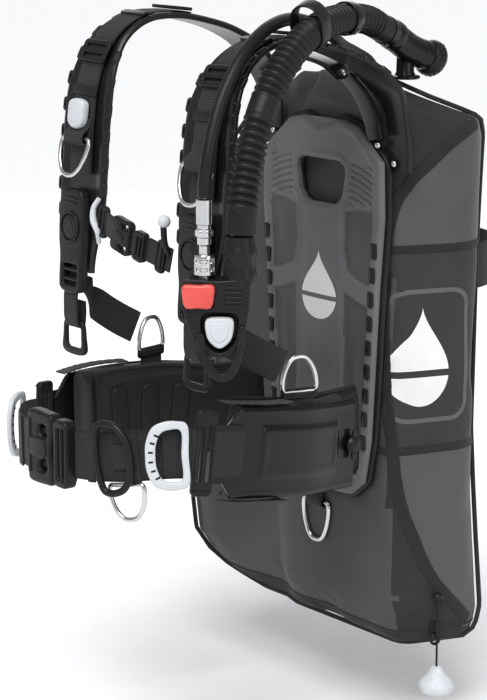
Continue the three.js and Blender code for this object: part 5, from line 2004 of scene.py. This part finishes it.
@dataclass
class HipSide:
    """One side of the waist belt: padding, weight pocket, gloss panel, ladder buckle, webbing and handle."""

    side: Side
    droop: float = 22.0

    def __post_init__(self) -> None:
        """Makes the belt's path on this side. The right half hangs lower at its handle."""
        self.sign = self.side.value
        self.word = self.side.word
        sag = self.droop if self.side is Side.RIGHT else 0.0
        self.path = Path([(self.sign * x, y, z - sag * min(1.0, x / 120) * float(smoothstep(-y, 150, 320)))
                          for x, y, z in BELT])

    def band(self, width: object, thick: float, out: float, start: float, end: float, **more: object) -> Band:
        """A strap along the belt whose outer face is away from the wearer."""
        return Band(self.path, UP, width, thick, out=out, start=start, end=end, flip=float(-self.sign), **more)

    def spot(self, t: float, out: float) -> Matrix:
        """A frame on the belt: X along it, Y inward, Z up."""
        at, wide, face = self.path.frames([t], UP)
        outward = -self.sign * face[0]
        inward = -outward
        return basis(at[0] + outward * out * MM, np.cross(inward, wide[0]), inward, wide[0])

    def build(self) -> None:
        """Builds every piece of this side."""
        self.padding()
        self.pocket()
        self.panel()
        self.ladder()
        self.webbing()
        self.handle()

    def padding(self) -> None:
        """The soft pad against the hip, with three raised ribs on its inner face."""
        band = self.band(96, 8.5, -39.2, 0.02, 0.49, steps=52, lanes=24, edge=0.3)
        mesh = band.mesh()
        obj = Piece.add(f"hip_padding_{self.word}", mesh, "pad_rim", replaces=[f"hip_pad_{self.word}"])
        Cloth(pressure=4.0, cap=2.2).inflate(obj)
        self.smoothed(obj)
        ribs = []
        for t in (0.24, 0.33, 0.42):
            place = self.spot(t, -45.4)
            ribs.append(plate([rounded(20, 60, 8)], 5.0, place, 2.2, 4))
        Piece.add(f"hip_pad_ribs_{self.word}", merged(ribs), "pad_rim")
        edge = []
        for v in (1, -1):
            t = np.linspace(0.03, 0.485, 60)
            points = band.surface(t, np.full_like(t, v * 0.99), np.zeros_like(t))
            edge.append(tube(points, 2.2 * MM, 10))
        Piece.add(f"hip_pad_piping_{self.word}", merged(edge), "binding")

    @staticmethod
    def smoothed(obj: bpy.types.Object) -> None:
        """One round of subdivision, kept in the mesh."""
        modifier = obj.modifiers.new("smooth", "SUBSURF")
        modifier.levels = modifier.render_levels = 1
        bpy.context.view_layer.objects.active = obj
        bpy.ops.object.modifier_apply(modifier="smooth")

    def pocket(self) -> None:
        """The weight pocket's puffed pouch, with elastic gathers above and below the panel."""
        band = self.band(lambda t: 102 - 10 * t, 17, -20, 0.14, 0.51, steps=46, lanes=22, edge=0.3)
        mesh = band.mesh()
        obj = Piece.add(f"weight_pouch_{self.word}", mesh, "girdle", replaces=[f"weight_pocket_{self.word}"])
        Cloth(pressure=5.0, cap=3.4, shrink=-0.03).inflate(obj)
        self.smoothed(obj)
        gathers = []
        for sign_z, start, end in ((1, 0.36, 0.55), (-1, 0.34, 0.53)):
            t = np.linspace(start, end, 70)
            ripple = 1.5 * np.abs(np.sin((t - start) / (end - start) * math.pi * 9))
            lift = -13.0 + 7.5 * np.sin((t - start) / (end - start) * math.pi)
            at, wide, face = self.path.frames(t, UP)
            outward = -self.sign * face
            line = at + outward * ((lift + ripple) * MM)[:, None] + wide * (sign_z * 50 * MM)
            width = 7.5 * MM
            section = np.array([(-1, 0.08), (1, 0.08), (1, -0.08), (-1, -0.08)])
            rings = (line[:, None] + section[None, :, :1] * width * outward[:, None]
                     + section[None, :, 1:] * width * wide[:, None])
            walked, widths = t * self.path.length, np.full(len(t), 2 * width)
            gathers.append(lofted_mapped(rings, walked, array([-1, 1, 1, -1]), widths))
        Piece.add(f"elastic_gathers_{self.word}", merged(gathers), "elastic")

    def panel(self) -> None:
        """The gloss outer panel with its raised contour, narrow front end and knob."""
        def width(t: np.ndarray) -> np.ndarray:
            return 92 - 46 * smoothstep(t, 0.72 * 0.565 + 0.1, 0.565)

        def relief(t: np.ndarray, v: np.ndarray) -> np.ndarray:
            along = (t - 0.12) / (0.565 - 0.12)
            box = np.minimum(np.minimum((along - 0.14) * 200, (0.74 - along) * 200), (0.56 - np.abs(v)) * 44)
            rim = 0.8 * np.exp(-((np.abs(v) - 0.9) / 0.06) ** 2)
            return rim + 1.8 * smoothstep(box, -1, 3) - 0.6 * smoothstep(box, 7, 10)

        band = self.band(width, 4.4, -5.5, 0.12, 0.565, steps=110, lanes=40, crown=1.4)
        Piece.add(f"gloss_panel_{self.word}", band.mesh(relief), "gloss", replaces=[f"hip_panel_{self.word}"])
        place = self.spot(0.135, 0.4) @ Matrix.Rotation(math.pi / 2, 4, "X")
        knob = [turned([[9, 0], [9.6, 1.4], [8.6, 4.6], [6.4, 6.4], [2, 7]], place, 28)]
        for angle in (90, 270):
            turn = Matrix.Rotation(math.radians(angle), 4, "Z")
            wing = place @ turn @ shift(11, 0, 2.4) @ Matrix.Rotation(math.pi / 2, 4, "X")
            knob.append(plate([rounded(9, 7, 2.4)], 3, wing, 1.0, 2))
        Piece.add(f"panel_knob_{self.word}", merged(knob), "moulded")
        flap = self.band(58, 1.8, -1.2, 0.50, 0.575, steps=16)
        Piece.add(f"panel_flap_{self.word}", flap.mesh(), "webbing")

    def ladder(self) -> None:
        """The ladder buckle at the panel's narrow end."""
        place = self.spot(0.595, -5.5)
        loops = [rounded(21.6, 85, 5), rounded(4.4, 58, 1.6, -5, 0), rounded(4.4, 58, 1.6, 5, 0)]
        frame_plate = plate(loops, 6.6, place, 1.8, 3)
        teeth = [plate([rounded(19, 3, 1.2, 0, z)], 2, place @ shift(0, -3.8, 0), 0.7, 1) for z in (-38, 38)]
        Piece.add(f"ladder_frame_{self.word}", merged([frame_plate, *teeth]), "moulded",
                  replaces=[f"ladder_buckle_{self.word}"])

    def webbing(self) -> None:
        """The belt webbing, doubled back through the ladder buckle."""
        band = self.band(50, 2.1, -5.5, 0.605, 0.93, steps=80)
        Piece.add(f"belt_web_{self.word}", band.mesh(), "webbing", replaces=[f"waist_webbing_{self.word}"])
        double = self.band(49, 1.7, -3.2, 0.61, 0.69, steps=24)
        Piece.add(f"belt_tail_{self.word}", double.mesh(), "webbing")

    def handle(self) -> None:
        """The light handle of the weight pouch, with its row of dark dimples."""
        outer = smooth_loop([(-17, -31), (-8, -34), (4, -34), (16, -29), (23, -14), (24, 0), (23, 14), (16, 29), (4, 34),
                             (-8, 34), (-17, 31), (-18, 0)], 90)
        inner = smooth_loop([(-10.4, -25), (0, -26), (8, -23), (13, -12), (14, 0), (13, 12), (8, 23), (0, 26),
                             (-10.4, 25), (-11, 0)], 80)
        place = self.spot(0.675, 3.5)
        facing = -self.sign
        if self.side is Side.LEFT:
            outer, inner = outer * [-1, 1], inner * [-1, 1]
        name = f"pocket_handle_{self.word}"
        ring = plate([outer, inner], 5.2, place, 1.9, 3)
        Piece.add(f"pouch_handle_{self.word}", ring, "light", name, [name])
        dots = []
        for angle in range(-50, 51, 20):
            x = facing * (1 + 18 * math.cos(math.radians(angle)))
            z = 27.5 * math.sin(math.radians(angle))
            tilt = Matrix.Rotation(math.radians(-facing * angle * 0.5), 4, "Y")
            dots.append(plate([rounded(5.2, 2.2, 1.0)], 5.6, place @ shift(x, 0, z) @ tilt, 0.3, 1))
        Piece.add(f"handle_dimples_{self.word}", merged(dots), "moulded", name)


@dataclass
class WaistFront:
    """The front buckle, the belt's black ring and its steel ring."""

    height: float = BELT_Z

    def build(self) -> None:
        """Builds every piece of the front."""
        place = shift(-14, -388, self.height)
        shell = smooth_loop([(-22, 30), (-20, 36), (8, 37), (20, 35), (21.6, 20), (18, 0), (21.6, -20), (20, -35),
                             (8, -37), (-20, -36), (-22, -30), (-22, 0)], 100)
        holes = [smooth_loop([(-2, 22), (8, 24), (13, 17), (9, 11), (0, 13)], 30),
                 smooth_loop([(0, -13), (9, -11), (13, -17), (8, -24), (-2, -22)], 30)]
        socket = [plate([shell, *holes], 14.6, place, 3.6, 4)]
        socket.append(plate([rounded(30, 20, 6, -3, 0)], 2, place @ shift(0, -7.6, 0), 0.9, 2))
        socket.append(plate([rounded(4, 56, 1.8, -17, 0)], 2.4, place @ shift(0, -7.4, 0), 0.9, 2))
        Piece.add("belt_socket", merged(socket), "moulded", replaces=["waist_socket"])
        place = shift(0.2, -388, self.height)
        block = [rounded(23.6, 69, 7, 20.8, 0), rounded(4.6, 52, 2, 19, 0), rounded(4.6, 52, 2, 27, 0)]
        tongue = [plate(block, 14, place, 2.8, 3)]
        tongue += [plate([rounded(34, 7.4, 3, -5, z)], 4.8, place, 1.6, 2) for z in (-17, 0, 17)]
        Piece.add("belt_tongue", merged(tongue), "moulded", replaces=["waist_tongue"])
        left = HipSide(Side.LEFT)
        spot = left.spot(0.8, 3.0)
        band = [(-15, 32), (-15, -32), (5, -32), (17, -16), (17, 16), (5, 32)]
        path = Path([(x, 0, z) for x, z in band], closed=True)
        ring = tube(path.at(np.arange(90) / 90), 3.6 * MM, 14, closed=True)
        ring.transform(spot)
        Piece.add("black_ring", ring, "moulded", "belt_ring", ["belt_ring"])
        steel = d_ring(38, 34)
        steel.transform(left.spot(0.79, -5.5) @ shift(0, 0, -29))
        Piece.add("steel_d_ring", steel, "steel", "belt_steel_ring", ["belt_steel_ring"])
        keeper = left.band(52, 2.4, -2.8, 0.745, 0.775, steps=10)
        second = left.band(52, 2.4, -2.8, 0.865, 0.885, steps=10)
        tab = left.band(24, 1.8, -2.6, 0.772, 0.812, steps=10)
        Piece.add("belt_keepers", merged([keeper.mesh(), second.mesh(), tab.mesh()]), "webbing")
        right = HipSide(Side.RIGHT)
        keeper = right.band(52, 2.4, -2.8, 0.80, 0.83, steps=10)
        Piece.add("belt_keeper_right", keeper.mesh(), "webbing")


@dataclass
class ShoulderDump:
    """The light pull knob of the shoulder dump, on the right strap."""

    def build(self) -> None:
        """Builds the knob with its dished face."""
        strap = ShoulderStrap(Side.RIGHT)
        place = strap.spot(0.712, 3.5 + 0.9 + 2.2 + 6)
        outline = smooth_loop([(-12, 12), (0, 15.4), (12, 12), (13.6, 2), (12, -10), (5, -15), (-5, -15), (-12, -10),
                               (-13.6, 2)], 60)
        body = plate([outline], 10.6, place, 3.8, 5)
        face = plate([outline * 0.6], 1.6, place @ shift(0, -5.0, 0), 0.7, 2)
        Piece.add("shoulder_pull", merged([body, face]), "light", "shoulder_dump_knob", ["shoulder_dump_knob"])


# ------------------------------------------------------------------ the whole vest


def main() -> None:
    """Builds the stage and every sub-assembly in order."""
    logging.basicConfig(level=logging.INFO, format="%(message)s")
    parts = [
        ("studio", Studio()), ("hoses", Hoses()), ("inflator", Inflator()), ("wing", Wing()), ("back", BackPlate()),
        ("left strap", ShoulderStrap(Side.LEFT)), ("right strap", ShoulderStrap(Side.RIGHT)),
        ("chest strap", ChestStrap()), ("left hip", HipSide(Side.LEFT)), ("right hip", HipSide(Side.RIGHT)),
        ("waist front", WaistFront()), ("shoulder dump", ShoulderDump()),
    ]
    for name, part in parts:
        before = Piece.count
        part.build()
        LOG.info("%s: %d pieces", name, Piece.count - before)


if __name__ == "__main__":
    main()
